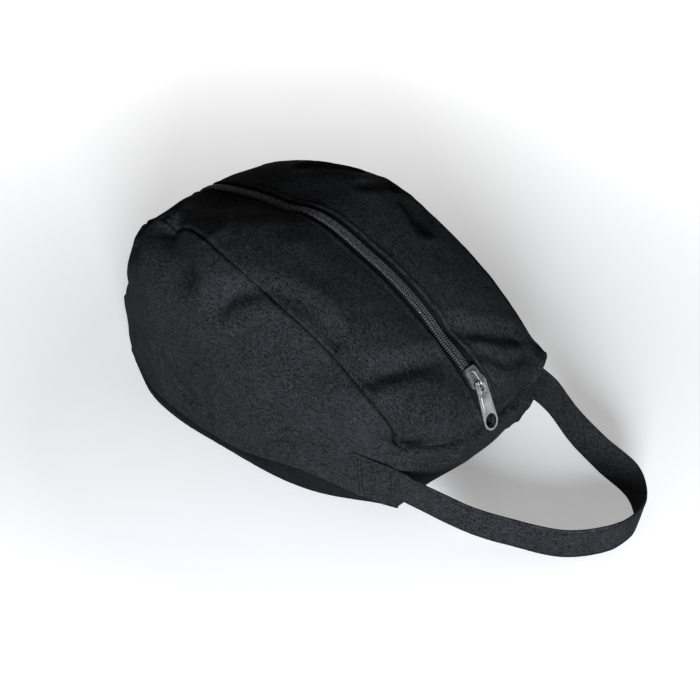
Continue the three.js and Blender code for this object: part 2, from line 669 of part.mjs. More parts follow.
function strapGeometry() {
  const turns = steps(STRAP_FROM, STRAP_TO, STRAP_END_CELLS);
  const near = turns.map((t) => sewnSection(1, t));
  const far = turns.map((t) => sewnSection(-1, t)).reverse();
  const lean = THREE.MathUtils.degToRad(STRAP_LEAN);
  const lift = STRAP * Math.sin(lean) + FLOOR_GAP;
  const path = STRAP_PATH.map((row) => {
    const x = LENGTH / 2 + row.out * STRAP_REACH;
    return vector(x, row.side * WIDTH / 2, row.lift * STRAP_WIDTH + lift);
  });
  const joins = [near.slice(-2), far.slice(0, 2)];
  const ends = (index) => joins.map((list) => list.map((rows) => rows.at(index)[1]));
  const [nearLow, farLow] = ends(0);
  const [nearHigh, farHigh] = ends(-1);
  const lower = new THREE.CatmullRomCurve3([...nearLow, ...path, ...farLow]);
  const up = vector(0, 0, 1);
  const leaning = path.map((point, i) => {
    const out = lower.getTangent((i + 2) / (path.length + 3)).cross(up).normalize();
    const rise = up.clone().multiplyScalar(Math.cos(lean)).addScaledVector(out, Math.sin(lean));
    return point.clone().addScaledVector(rise, STRAP_WIDTH);
  });
  const upper = new THREE.CatmullRomCurve3([...nearHigh, ...leaning, ...farHigh]);
  const last = path.length + 3;
  const loop = steps(1 / last, 1 - 1 / last, STRAP_LOOP_CELLS).slice(1, -1).map((share) => {
    const low = lower.getPoint(share);
    low.z = Math.max(low.z, lift);
    const high = upper.getPoint(share);
    const out = lower.getTangent(share).cross(high.clone().sub(low)).normalize();
    return steps(0, 1, STRAP_CELLS).map((part) => {
      const under = low.clone().lerp(high, part);
      return [under.clone().addScaledVector(out, STRAP), under];
    });
  });
  const sections = [...near, ...loop, ...far];
  const columns = steps(STRAP_CELLS, 0, STRAP_CELLS);
  return strip(sections, columns, (section, column) => section[column]);
}

const group = new THREE.Group();

function addPiece(name, geometry, finish) {
  const mesh = new THREE.Mesh(geometry, new THREE.MeshStandardMaterial(finish));
  mesh.name = name;
  group.add(mesh);
}

for (const { name, geometry } of bodyPanels()) {
  addPiece(name, geometry, name === "base_panel" ? BASE_CLOTH : BLACK_CLOTH);
}
const chainFront = stationAhead(postFront - POST_LENGTH - POST_ROOM);
for (const [name, side] of [["near", -1], ["far", 1]]) {
  addPiece(`zip_tape_${name}`, tapeGeometry(side), ZIP_TAPE);
  addPiece(`zip_chain_${name}`, chainGeometry(side, chainFront), COIL);
  addPiece(`zip_stop_${name}`, stopGeometry(side), GUNMETAL);
}
addPiece("zip_slider", placed(geometryOf(sliderSolid()), ahead, tapePoint), GUNMETAL);
addPiece("pull_tab", placed(geometryOf(tabSolid()), tabAhead, pivot), GUNMETAL);
addPiece("carry_strap", strapGeometry(), WEBBING);

export default group;
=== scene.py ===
import math

import bpy
import numpy as np
from mathutils import Matrix, Vector, bvhtree, kdtree, noise


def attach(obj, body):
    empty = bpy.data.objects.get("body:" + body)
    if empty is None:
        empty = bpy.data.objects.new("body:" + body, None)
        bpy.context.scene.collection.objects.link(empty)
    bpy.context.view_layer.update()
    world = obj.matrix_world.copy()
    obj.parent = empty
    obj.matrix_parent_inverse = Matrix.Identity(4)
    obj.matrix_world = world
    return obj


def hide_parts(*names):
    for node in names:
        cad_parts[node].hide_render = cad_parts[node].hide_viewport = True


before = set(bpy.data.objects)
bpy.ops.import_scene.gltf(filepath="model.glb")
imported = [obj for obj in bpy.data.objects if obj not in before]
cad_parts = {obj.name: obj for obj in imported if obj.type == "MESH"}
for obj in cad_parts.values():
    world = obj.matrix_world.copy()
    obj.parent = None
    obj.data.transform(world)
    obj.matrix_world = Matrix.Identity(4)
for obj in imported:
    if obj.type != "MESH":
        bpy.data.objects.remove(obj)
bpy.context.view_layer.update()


# Camera
# A long lens looks down on the bag from its front near corner, as in the photograph. Azimuth and
# elevation are in degrees, the rest in metres.
AZIMUTH, ELEVATION = math.radians(43.1), math.radians(34.3)
DISTANCE = 1.5
AIM = Vector((0.0276, 0.0011, 0.0757))
FOCAL_SHARE = 1482 / 700
SENSOR = 36.0

camera_data = bpy.data.cameras.new("camera")
camera_data.sensor_width = SENSOR
camera_data.lens = FOCAL_SHARE * SENSOR
camera = bpy.data.objects.new("camera", camera_data)
bpy.context.scene.collection.objects.link(camera)
bpy.context.scene.camera = camera
bpy.context.scene.view_settings.view_transform = "Standard"
backward = Vector((
    math.sin(AZIMUTH) * math.cos(ELEVATION),
    -math.cos(AZIMUTH) * math.cos(ELEVATION),
    math.sin(ELEVATION),
))
camera.location = AIM + backward * DISTANCE
camera.rotation_mode = "QUATERNION"
camera.rotation_quaternion = (-backward).to_track_quat("-Z", "Y")


# Floor and studio light
# A plain pale sheet to stand on and one big, low soft box in front of the near side. Two weak ones, over
# the bag and on its far side, lift the crest and the far half. The sheet glows more away from the bag.
FLOOR_WIDE, FLOOR_DROP = 5.0, 0.0003
FLOOR_GREY = (0.9, 0.9, 0.9, 1)
GLOW_FROM, GLOW_TO = 0.3, 0.9
GLOW_NEAR, GLOW_FAR = 0.3, 0.85
ROOM_LIGHT, BACKDROP = 0.13, 0.95
LAMPS = (
    # name, place, aim, size, watts, colour
    ("soft_box_near", (1.5, -1.45, 0.4), (0.0, 0.0, 0.08), 0.65, 108, (0.95, 0.98, 1.06)),
    ("soft_box_far", (0.2, 1.95, 0.75), (0.0, 0.0, 0.08), 1.0, 4, (1.0, 1.02, 0.98)),
    ("soft_box_top", (0.1, 0.15, 2.1), (0.0, 0.0, 0.1), 1.6, 1, (1.0, 1.02, 1.0)),
)


def node_material(name):
    """A new material, its node tree, and its surface shader."""
    material = bpy.data.materials.new(name)
    material.use_nodes = True
    tree = material.node_tree
    return material, tree, tree.nodes["Principled BSDF"]


def mesh_object(name, points, faces, material, smooth=True):
    """A mesh object from points in metres."""
    mesh = bpy.data.meshes.new(name)
    mesh.from_pydata([tuple(p) for p in points], [], faces)
    mesh.materials.append(material)
    mesh.polygons.foreach_set("use_smooth", [smooth] * len(mesh.polygons))
    thing = bpy.data.objects.new(name, mesh)
    bpy.context.scene.collection.objects.link(thing)
    return thing


floor_material, floor_tree, floor_shader = node_material("pale_floor")
floor_shader.inputs["Base Color"].default_value = FLOOR_GREY
floor_shader.inputs["Roughness"].default_value = 0.9
floor_shader.inputs["Specular IOR Level"].default_value = 0.1
floor_shader.inputs["Emission Color"].default_value = (1, 1, 1, 1)
floor_place = floor_tree.nodes.new("ShaderNodeTexCoord")
floor_away = floor_tree.nodes.new("ShaderNodeVectorMath")
floor_away.operation = "LENGTH"
floor_tree.links.new(floor_place.outputs["Object"], floor_away.inputs[0])
floor_glow = floor_tree.nodes.new("ShaderNodeMapRange")
floor_glow.inputs["From Min"].default_value = GLOW_FROM
floor_glow.inputs["From Max"].default_value = GLOW_TO
floor_glow.inputs["To Min"].default_value = GLOW_NEAR
floor_glow.inputs["To Max"].default_value = GLOW_FAR
floor_tree.links.new(floor_away.outputs["Value"], floor_glow.inputs["Value"])
floor_tree.links.new(floor_glow.outputs["Result"], floor_shader.inputs["Emission Strength"])
half = FLOOR_WIDE / 2
floor = mesh_object(
    "floor",
    [(x, y, -FLOOR_DROP) for x, y in ((-half, -half), (half, -half), (half, half), (-half, half))],
    [(0, 1, 2, 3)],
    floor_material,
)

for name, place, aim, size, watts, colour in LAMPS:
    lamp_data = bpy.data.lights.new(name, "AREA")
    lamp_data.shape = "DISK"
    lamp_data.size = size
    lamp_data.energy = watts
    lamp_data.color = colour
    lamp = bpy.data.objects.new(name, lamp_data)
    lamp.location = place
    lamp.rotation_mode = "QUATERNION"
    lamp.rotation_quaternion = (Vector(aim) - Vector(place)).to_track_quat("-Z", "Y")
    bpy.context.scene.collection.objects.link(lamp)

# A backdrop that the camera sees as nearly white, and that lights the bag only weakly
world = bpy.data.worlds.new("studio")
world.use_nodes = True
world_tree = world.node_tree
backdrop = world_tree.nodes["Background"]
backdrop.inputs["Color"].default_value = (1, 1, 1, 1)
world_rays = world_tree.nodes.new("ShaderNodeLightPath")
world_strength = world_tree.nodes.new("ShaderNodeMapRange")
world_strength.inputs["To Min"].default_value = ROOM_LIGHT
world_strength.inputs["To Max"].default_value = BACKDROP
world_tree.links.new(world_rays.outputs["Is Camera Ray"], world_strength.inputs["Value"])
world_tree.links.new(world_strength.outputs["Result"], backdrop.inputs["Strength"])
bpy.context.scene.world = world


# Body cloth
# Six panels of black plain-woven polyester, sewn right side to right side and turned out, so that every
# seam is a narrow groove between two soft rolls. Lengths are in millimetres until a mesh is made.
MM = 0.001
LENGTH, WIDTH, HEIGHT = 419.0, 280.0, 228.0
CLOTH = 1.5
BASE_RIM = 14.0
HOOPS = {
    # Hoops over the body from back to front, as shares of half the length, half the width and the height
    "crest_x": (-1.0, -0.87, -0.833, -0.214, 0.283, 0.627, 0.911, 1.0),
    "crest_z": (0.383, 0.642, 0.831, 0.995, 0.885, 0.733, 0.535, 0.333),
    "half": (0.727, 0.906, 0.98, 0.998, 0.996, 0.95, 0.875, 0.773),
    "belt": (0.385, 0.38, 0.37, 0.38, 0.38, 0.38, 0.37, 0.33),
    "box": (3.4, 3.8, 4.0, 4.0, 3.5, 3.1, 2.5, 1.9),
    "hump": (0, 0, 0, 0, 0, 0, 0.03, 0.11),
}
HUMP_FALL, HUMP_TOP = 1.2, 0.357
FOOT_BACK, FOOT_FRONT = -0.95, 0.9
WALL_INSET = (0.124, 0.07, 0.03, 0.027, 0.048, 0.06, 0.214, 0.378, 0.388)
WALL_RIM = (1, 1, 1, 1, 0.85, 1.95, 0.65, 0.85, 1)
SPINE = (-0.4 * LENGTH / 2, 0.48 * LENGTH / 2)
GORE = (0.45, 0.43, 0.365, 0.375, 0.46, 0.475, 0.485, 0.52, 0.6, 0.885)
SLOT_HALF = 11.5
SLOT_POINT_ROWS = 32
SLOT_CLOSES, SLOT_CLOSED_BY = 0.9, 0.7
DENTS = (
    # from, to (shares of half the length, half the width, the height), width and depth (of the height)
    ((-0.52, -0.14, 0.956), (-0.31, 0.04, 0.978), 0.21, 0.045),
    ((-0.8, -0.39, 0.825), (-0.765, -0.84, 0.755), 0.07, 0.03),
    ((-0.6, -0.7, 0.87), (-0.39, -0.885, 0.825), 0.075, 0.026),
    ((-0.13, -0.96, 0.745), (0.02, -0.87, 0.85), 0.065, 0.022),
    ((0.02, -0.87, 0.85), (0.46, -0.8, 0.69), 0.085, 0.022),
    ((0.61, -0.7, 0.66), (0.81, -0.23, 0.635), 0.075, 0.024),
    ((-0.36, 0.61, 0.95), (-0.24, 0.7, 0.93), 0.065, 0.024),
    ((-0.04, 0.71, 0.91), (0.2, 0.6, 0.885), 0.065, 0.026),
    ((0.72, 0.09, 0.67), (0.87, 0.6, 0.51), 0.07, 0.024),
    ((0.975, 0.21, 0.38), (0.96, 0.55, 0.405), 0.045, 0.016),
    ((-0.25, 0, 0.97), (0.84, 0, 0.57), 0.16, 0.03),
)
CREASES = (
    # points in millimetres, width and depth of the valley (below zero: a ridge), height of its rolls
    (((-16, -136, 167), (-9, -124, 182), (13, -110, 194), (42, -101, 196), (68, -94, 190),
      (101, -95, 171)), 9.0, 4.6, 2.0),
    (((4, -138, 148), (44, -128, 156), (92, -118, 142)), 20.0, 5.6, 0.0),
    (((140, -94, 143), (149, -72, 146), (156, -47, 143), (159, -24, 140)), 9.0, 5.0, 1.8),
    (((-124, -94, 197), (-92, -113, 195), (-63, -128, 184)), 12.0, 7.0, 3.0),
    (((-59, -104, 213), (-54, -89, 220), (-62, -61, 221)), 7.0, -2.2, 0.0),
    (((-170, -96, 176), (-168, -82, 181), (-144, -82, 197)), 5.0, 3.0, 1.8),
    (((-102, 68, 213), (-78, 83, 211), (-53, 97, 212)), 6.0, 4.0, 1.6),
    (((-14, 70, 221), (-10, 86, 216), (-9, 106, 206)), 8.0, 5.0, 1.6),
    (((20, 88, 202), (38, 82, 197), (60, 73, 197)), 8.0, 5.4, 2.0),
    (((144, 16, 147), (162, 41, 137), (173, 75, 121)), 8.0, 5.2, 2.2),
    (((176, 24, 130), (191, 41, 117), (189, 80, 103)), 6.0, 3.4, 1.8),
    (((208, 14, 80), (204, 46, 81), (202, 75, 84)), 4.5, 3.4, 2.2),
    (((174, -113, 94), (185, -109, 93), (193, -105, 89)), 3.0, 1.8, 1.2),
    (((194, -103, 84), (201, -80, 73), (205, -49, 64)), 5.0, 3.0, 1.4),
    (((-109, -136, 76), (-79, -139, 55), (-40, -139, 42)), 10.0, 3.4, 1.8),
    (((60, -134, 60), (110, -128, 52), (150, -116, 50)), 8.0, 1.8, 1.2),
)
FOLD_ROLL_AT, FOLD_ROLL_WIDE, FOLD_ROLL_DOWN = 1.9, 1.1, 40.0
SWELL, SWELL_PITCH = 2.0, 62.0
WRINKLE, WRINKLE_PITCH = 1.3, 27.0
CRUMPLE, CRUMPLE_PITCH = 0.35, 12.0
SEAM_STIFF = 14.0
SEAM_GROOVE, SEAM_GROOVE_WIDE = 2.4, 1.5
SEAM_ROLL, SEAM_ROLL_AT, SEAM_ROLL_WIDE = 0.4, 4.2, 2.3
LIP, LIP_AT, LIP_WIDE = 2.2, 6.0, 3.4
BASE_LIP = LIP / 2
SLOT_EDGE, SLOT_EDGE_WIDE = 0.9, 0.8
SLOT_FOLD, SLOT_FOLD_AT, SLOT_FOLD_WIDE = 0.7, 2.4, 1.9
SLOT_TREAD, SLOT_TREAD_AT, SLOT_TREAD_WIDE = 0.35, 6.5, 1.6
PUCKER, PUCKER_REACH, PUCKER_PITCH, PUCKER_SPREAD = 0.55, 9.0, 8.0, 22.0
ON_FLOOR = 0.5
STATION_CELLS = 210
END_STEPS = (0.4, 0.9, 1.6, 2.6, 4.0)
CROWN_CELLS, SIDE_CELLS, WALL_CELLS, RIM_CELLS, FLOOR_CELLS = 40, 34, 44, 8, 24


def along(values, share):
    """A smooth curve through evenly spaced values, at a share of its length."""
    values = np.asarray(values, float)
    last = len(values) - 1
    x = np.clip(np.asarray(share, float), 0, 1) * last
    i = np.minimum(np.floor(x).astype(int), last - 1)
    t = x - i
    wide = np.concatenate([[2 * values[0] - values[1]], values, [2 * values[-1] - values[-2]]])
    a, b, c, d = wide[i], wide[i + 1], wide[i + 2], wide[i + 3]
    cubic = (3 * b - a - 3 * c + d) * t**3 + (2 * a - 5 * b + 4 * c - d) * t**2 + (c - a) * t
    return b + cubic / 2


def hoop_point(s, across, rise):
    foot = LENGTH / 2 * (FOOT_BACK + (FOOT_FRONT - FOOT_BACK) * s)
    crest = LENGTH / 2 * along(HOOPS["crest_x"], s)
    low = HEIGHT * along(HOOPS["belt"], s)
    top = HEIGHT * along(HOOPS["crest_z"], s)
    wide = WIDTH / 2 * along(HOOPS["half"], s)
    rise = np.clip(rise, 0, 1)
    hump = HEIGHT * along(HOOPS["hump"], s) * np.sqrt(rise) * (1 - rise) ** HUMP_FALL / HUMP_TOP
    return np.stack([foot + (crest - foot) * rise, across * wide, low + (top - low) * rise + hump], -1)


def hoop(s, turn):
    """The near half of the hoop at s, at a share of its turn from the crest to the belt line."""
    s, turn = np.broadcast_arrays(np.asarray(s, float), np.asarray(turn, float))
    box = along(HOOPS["box"], s)
    side = np.sin(turn * math.pi / 2)
    top = np.maximum(np.cos(turn * math.pi / 2), 0)
    reach = (side**box + top**box) ** (-1 / box)
    return hoop_point(s, -side * reach, top * reach)


def crown(s, y):
    """The hoop at s, at a distance y from the middle."""
    s, y = np.broadcast_arrays(np.asarray(s, float), np.asarray(y, float))
    across = y / (WIDTH / 2 * along(HOOPS["half"], s))
    box = along(HOOPS["box"], s)
    return hoop_point(s, across, (1 - np.abs(across) ** box) ** (1 / box))


def turn_at(s, y):
    across = y / (WIDTH / 2 * along(HOOPS["half"], s))
    box = along(HOOPS["box"], s)
    return np.arctan2(across, (1 - across**box) ** (1 / box)) / (math.pi / 2)


def belt_line(t):
    """The belt line round the near side: t is 0 at the back, 1 and 3 at the corners, 4 at the front."""
    t = np.asarray(t, float)
    return hoop(np.clip((t - 1) / 2, 0, 1), np.minimum(np.minimum(t, 1), 4 - t))


def skirt(t, down):
    """The near wall below the belt line: down is 0 at the belt line and 1 on the floor."""
    t, down = np.broadcast_arrays(np.asarray(t, float), np.asarray(down, float))
    point = belt_line(t)
    inward = np.stack([np.clip(point[..., 0], *SPINE) - point[..., 0], -point[..., 1]], -1)
    inward /= np.maximum(np.linalg.norm(inward, axis=-1, keepdims=True), 1e-9)
    inset = LENGTH / 2 * along(WALL_INSET, t / 4) * (1 - np.sqrt(1 - np.minimum(down, 1) ** 2))
    point[..., :2] += inward * inset[..., None]
    point[..., 2] *= 1 - down
    return point


def line_distance(points, start, end):
    start, end = np.asarray(start, float), np.asarray(end, float)
    way = end - start
    share = np.clip((points - start) @ way / (way @ way), 0, 1)
    return np.linalg.norm(points - (start + share[..., None] * way), axis=-1)


def fade_above_base(z):
    t = np.clip((z - BASE_RIM) / (2 * BASE_RIM), 0, 1)
    return t * t * (3 - 2 * t)


def dent(points):
    """Depth of the large dents at each point."""
    unit = np.array([LENGTH / 2, WIDTH / 2, HEIGHT])
    depth = np.zeros(points.shape[:-1])
    for start, end, wide, deep in DENTS:
        away = line_distance(points, start * unit, end * unit)
        depth += deep * HEIGHT * np.exp(-((away / (wide * HEIGHT)) ** 2))
    return depth * fade_above_base(points[..., 2])


def steps(start, end, shares):
    start, end = np.asarray(start, float)[..., None], np.asarray(end, float)[..., None]
    return start + (end - start) * shares


def crowded(count, last=True):
    """Shares from 0 to 1 that lie closer together at the ends that carry a seam."""
    x = np.linspace(0, 1, count + 1)
    eased = (1 - np.cos(math.pi * x)) / 2 if last else 1 - np.cos(math.pi / 2 * x)
    return 0.25 * x + 0.75 * eased


def even_stations(count):
    fine = np.linspace(0, 1, 10 * count + 1)
    top, low = hoop(fine, 0.0), hoop(fine, 1.0)
    step = np.linalg.norm(np.diff(top, axis=0), axis=1) + np.linalg.norm(np.diff(low, axis=0), axis=1)
    lengths = np.concatenate([[0], np.cumsum(step)])
    return np.interp(np.linspace(0, lengths[-1], count + 1), lengths, fine)


SLOT_POINT = even_stations(SLOT_POINT_ROWS)[1]
crest_length = np.linalg.norm(np.diff(hoop(np.linspace(0, 1, 400), 0.0), axis=0), axis=1).sum()
front_rows = 1 - np.array(END_STEPS) / crest_length
stations = np.unique(np.concatenate([even_stations(STATION_CELLS), front_rows]))


def slot_half(s):
    closing = np.clip((s - SLOT_CLOSES) / (1 - SLOT_CLOSES), 0, 1)
    opening = 1 - SLOT_CLOSED_BY * closing * closing * (3 - 2 * closing)
    return SLOT_HALF * np.minimum(1, s / SLOT_POINT) * opening


def rim_down(t):
    return 1 - BASE_RIM * along(WALL_RIM, t / 4) / belt_line(t)[..., 2]


crown_turns = steps(turn_at(stations, slot_half(stations)), along(GORE, stations), crowded(CROWN_CELLS))
side_turns = steps(along(GORE, stations), np.ones(len(stations)), crowded(SIDE_CELLS, last=False))
wall_shares = crowded(WALL_CELLS)
crown_over = hoop(stations[:, None], crown_turns)
back_turns = crown_turns[0]
crown_back = skirt(back_turns[None, :], wall_shares[:0:-1, None] * rim_down(back_turns)[None, :])
crown_grid = np.concatenate([crown_back, crown_over])

side_over = hoop(stations[:, None], side_turns)
corner_turns = (4 - side_turns[-1])[::-1]
wall_turns = np.concatenate([side_turns[0], 1 + 2 * stations[1:]])
side_wall = skirt(wall_turns[:, None], wall_shares[None, :] * rim_down(wall_turns)[:, None])
front_turns = (4 - crown_turns[-1])[::-1]
middle_turns = np.linspace(front_turns[-1], 4, 5)[1:]
front_half = np.concatenate([corner_turns, front_turns[1:], middle_turns])
front_near = skirt(front_half[:, None], wall_shares[None, :] * rim_down(front_half)[:, None])

MIRROR = np.array([1, -1, 1])


def round_body(rows):
    """Near rows with their mirror images behind them, in the opposite order."""
    return np.concatenate([rows, (rows * MIRROR)[::-1][1:]])


base_turns = np.concatenate([crown_turns[0], wall_turns[1:], front_half[1:]])
rim_shares = np.linspace(0, 1, RIM_CELLS + 1)
rim_angles = steps(np.arcsin(rim_down(base_turns)), np.full(len(base_turns), math.pi / 2), rim_shares)
base_rim = skirt(base_turns[:, None], np.sin(rim_angles))
base_rim[:, -1, 2] = 0
edge = base_rim[:, -1]
spine = np.stack([np.clip(edge[:, 0], *SPINE), 0 * edge[:, 0], 0 * edge[:, 0]], -1)
floor_shares = np.linspace(0, 1, FLOOR_CELLS + 1)[1:]
base_floor = edge[:, None] + (spine - edge)[:, None] * floor_shares[None, :, None]
base_grid = round_body(np.concatenate([base_rim, base_floor], 1))


def flat_places(grid, row=None, column=0):
    """How far each point of a grid lies from one row and from one column, along the cloth."""
    row = len(grid) // 2 if row is None else row
    ahead = np.linalg.norm(np.diff(grid, axis=0), axis=-1)
    over = np.linalg.norm(np.diff(grid, axis=1), axis=-1)
    u = np.concatenate([np.zeros((1, grid.shape[1])), np.cumsum(ahead, 0)])
    v = np.concatenate([np.zeros((grid.shape[0], 1)), np.cumsum(over, 1)], 1)
    return np.stack([u - u[row], v - v[:, [column]]], -1)


middle_row = int(np.searchsorted(stations, 0.5))
side_flats = [
    flat_places(side_over, middle_row, -1),
    flat_places(side_wall, middle_row + len(side_turns[0]) - 1, 0),
]
rim_length = np.linalg.norm(np.diff(base_rim, axis=1), axis=-1)[:, ::-1].cumsum(1)[:, ::-1]
rim_length = np.concatenate([rim_length, np.zeros((len(rim_length), 1))], 1)
outward = edge[:, :2] - spine[:, :2]
outward /= np.linalg.norm(outward, axis=1, keepdims=True)
rim_flat = edge[:, None, :2] + outward[:, None] * rim_length[..., None]
base_flat = np.concatenate([rim_flat, base_floor[..., :2]], 1)
base_flat = np.concatenate([base_flat, (base_flat * MIRROR[:2])[::-1][1:]])


def mirrored(grid):
    return (grid * MIRROR)[:, ::-1]


def mirrored_flat(flat):
    return (flat * np.array([1, -1]))[:, ::-1]


front_grid = round_body(front_near)
crown_flat = flat_places(crown_grid, len(crown_back) + middle_row)
PANELS = {
    "crown_panel_near": [(crown_grid, crown_flat)],
    "crown_panel_far": [(mirrored(crown_grid), mirrored_flat(crown_flat))],
    "side_panel_near": list(zip([side_over, side_wall], side_flats)),
    "side_panel_far": [(mirrored(g), mirrored_flat(f)) for g, f in zip([side_over, side_wall], side_flats)],
    "front_panel": [(front_grid, flat_places(front_grid))],
    "base_panel": [(base_grid, base_flat)],
}

# All points of all panels, once each, and the cells between them
index_of = {}
places = []
flats = []
panel_cells = {}
for panel, grids in PANELS.items():
    cells = []
    for grid, flat in grids:
        keys = np.round(grid * 200).astype(np.int64)
        numbers = np.empty(grid.shape[:2], int)
        for i in range(grid.shape[0]):
            for j in range(grid.shape[1]):
                key = tuple(keys[i, j])
                if key not in index_of:
                    index_of[key] = len(places)
                    places.append(grid[i, j])
                numbers[i, j] = index_of[key]
        a, b = numbers[:-1, :-1].ravel(), numbers[:-1, 1:].ravel()
        c, d = numbers[1:, 1:].ravel(), numbers[1:, :-1].ravel()
        flat_cells = [flat[:-1, :-1], flat[:-1, 1:], flat[1:, 1:], flat[1:, :-1]]
        flat_cells = np.stack([f.reshape(-1, 2) for f in flat_cells], 1)
        for cell, uv in zip(np.stack([a, b, c, d], 1), flat_cells):
            kept = [k for k in range(4) if cell[k] != cell[k - 1]]
            if len(kept) >= 3:
                cells.append((tuple(int(cell[k]) for k in kept), [tuple(uv[k]) for k in kept]))
    panel_cells[panel] = cells
places = np.array(places)


def point_normals(points, cells):
    """The outward direction at each point, from the areas of the cells round it."""
    normals = np.zeros_like(points)
    threes = [cell[k] for cell in cells for k in (0, 1, 2)]
    threes += [cell[k] for cell in cells if len(cell) == 4 for k in (0, 2, 3)]
    a, b, c = np.array(threes).reshape(-1, 3).T
    area = np.cross(points[b] - points[a], points[c] - points[a])
    for corner in (a, b, c):
        np.add.at(normals, corner, area)
    return normals / np.maximum(np.linalg.norm(normals, axis=1, keepdims=True), 1e-12)


all_cells = [cell for cells in panel_cells.values() for cell, _ in cells]
normals = point_normals(places, all_cells)

# Seam lines, each as close points on the undented body
gore_line = np.concatenate([crown_back[:, -1], crown_over[:, -1]])
front_line = crown_over[-1]
base_line = base_grid[:, 0]
back_line = crown_back[:, 0]
slot_line = crown_over[:, 0]
SEAMS = {
    "gore_near": gore_line,
    "gore_far": gore_line * MIRROR,
    "front_near": front_line,
    "front_far": front_line * MIRROR,
    "base": base_line,
    "back": back_line,
    "slot_near": slot_line,
    "slot_far": slot_line * MIRROR,
}


def dense(line, pitch=0.8):
    """The same line with evenly spaced points, and their distances along it."""
    step = np.linalg.norm(np.diff(line, axis=0), axis=1)
    length = np.concatenate([[0], np.cumsum(step)])
    goals = np.linspace(0, length[-1], max(2, int(length[-1] / pitch)))
    return np.stack([np.interp(goals, length, line[:, k]) for k in range(3)], 1), goals


seam_points = []
for name, line in SEAMS.items():
    for point, length in zip(*dense(line)):
        seam_points.append((point, name, length))
seam_tree = kdtree.KDTree(len(seam_points))
for number, (point, name, length) in enumerate(seam_points):
    seam_tree.insert(point, number)
seam_tree.balance()


def crease(points):
    """Height of the narrow folds: a valley or a ridge, with a soft roll on both sides of it."""
    height = np.zeros(len(points))
    for line, wide, deep, roll in CREASES:
        away = np.min([line_distance(points, a, b) for a, b in zip(line, line[1:])], axis=0)
        middle = np.mean(line, axis=0)
        height -= deep * np.exp(-((away / wide) ** 2))
        beside = (away - FOLD_ROLL_AT * wide) / (FOLD_ROLL_WIDE * wide)
        height += roll * np.exp(-(beside**2)) * (points[:, 2] > middle[2] - FOLD_ROLL_DOWN)
    return height


shape_relief = -dent(places) + crease(places) * fade_above_base(places[:, 2])
fine_relief = np.zeros(len(places))
for number, point in enumerate(places):
    _, nearest, away = seam_tree.find(point)
    seam_point, name, length = seam_points[nearest]
    if point[2] < ON_FLOOR:
        continue
    spot = Vector(point)
    swell = noise.noise(spot / SWELL_PITCH) * SWELL
    swell += noise.noise(spot / WRINKLE_PITCH + Vector((7, 3, 1))) * WRINKLE
    crumple = noise.noise(spot / CRUMPLE_PITCH + Vector((2, 9, 4))) * CRUMPLE
    soft = fade_above_base(np.float64(point[2] + 6))
    relief = (swell + crumple) * (1 - math.exp(-away / SEAM_STIFF)) * soft
    if name.startswith("slot"):
        relief -= SLOT_EDGE * math.exp(-((away / SLOT_EDGE_WIDE) ** 2))
        relief += SLOT_FOLD * math.exp(-(((away - SLOT_FOLD_AT) / SLOT_FOLD_WIDE) ** 2))
        relief -= SLOT_TREAD * math.exp(-(((away - SLOT_TREAD_AT) / SLOT_TREAD_WIDE) ** 2))
    else:
        relief -= SEAM_GROOVE * math.exp(-((away / SEAM_GROOVE_WIDE) ** 2))
        relief += SEAM_ROLL * math.exp(-(((away - SEAM_ROLL_AT) / SEAM_ROLL_WIDE) ** 2))
        if name.startswith("front") and point[2] < seam_point[2] - 1:
            relief += LIP * math.exp(-(((away - LIP_AT) / LIP_WIDE) ** 2))
        if name == "base" and point[2] > seam_point[2] + 1:
            relief += BASE_LIP * math.exp(-(((away - LIP_AT) / LIP_WIDE) ** 2))
    wave = noise.noise(Vector((length / PUCKER_PITCH, away / PUCKER_SPREAD, 3.7 * len(name))))
    relief += PUCKER * wave * math.exp(-away / PUCKER_REACH) * (1 - math.exp(-away / 1.5))
    fine_relief[number] = relief
outer = places + normals * (shape_relief + fine_relief)[:, None]
outer[:, 2] = np.maximum(outer[:, 2], 0.0)
normals = point_normals(outer, all_cells)

# Behind the cut edges the cloth has its thickness, with directions evened so it stays whole at corners
evened = normals.copy()
pairs = np.array(sorted({tuple(sorted((c[k - 1], c[k]))) for c in all_cells for k in range(len(c))}))
for _ in range(6):
    total = evened.copy()
    np.add.at(total, pairs[:, 0], evened[pairs[:, 1]])
    np.add.at(total, pairs[:, 1], evened[pairs[:, 0]])
    evened = total / np.maximum(np.linalg.norm(total, axis=1, keepdims=True), 1e-12)
inner = outer - evened * CLOTH

WEAVE_PITCH = 0.00105
SEAM_GAP = 0.1
SHEET_EDGE = math.radians(50)


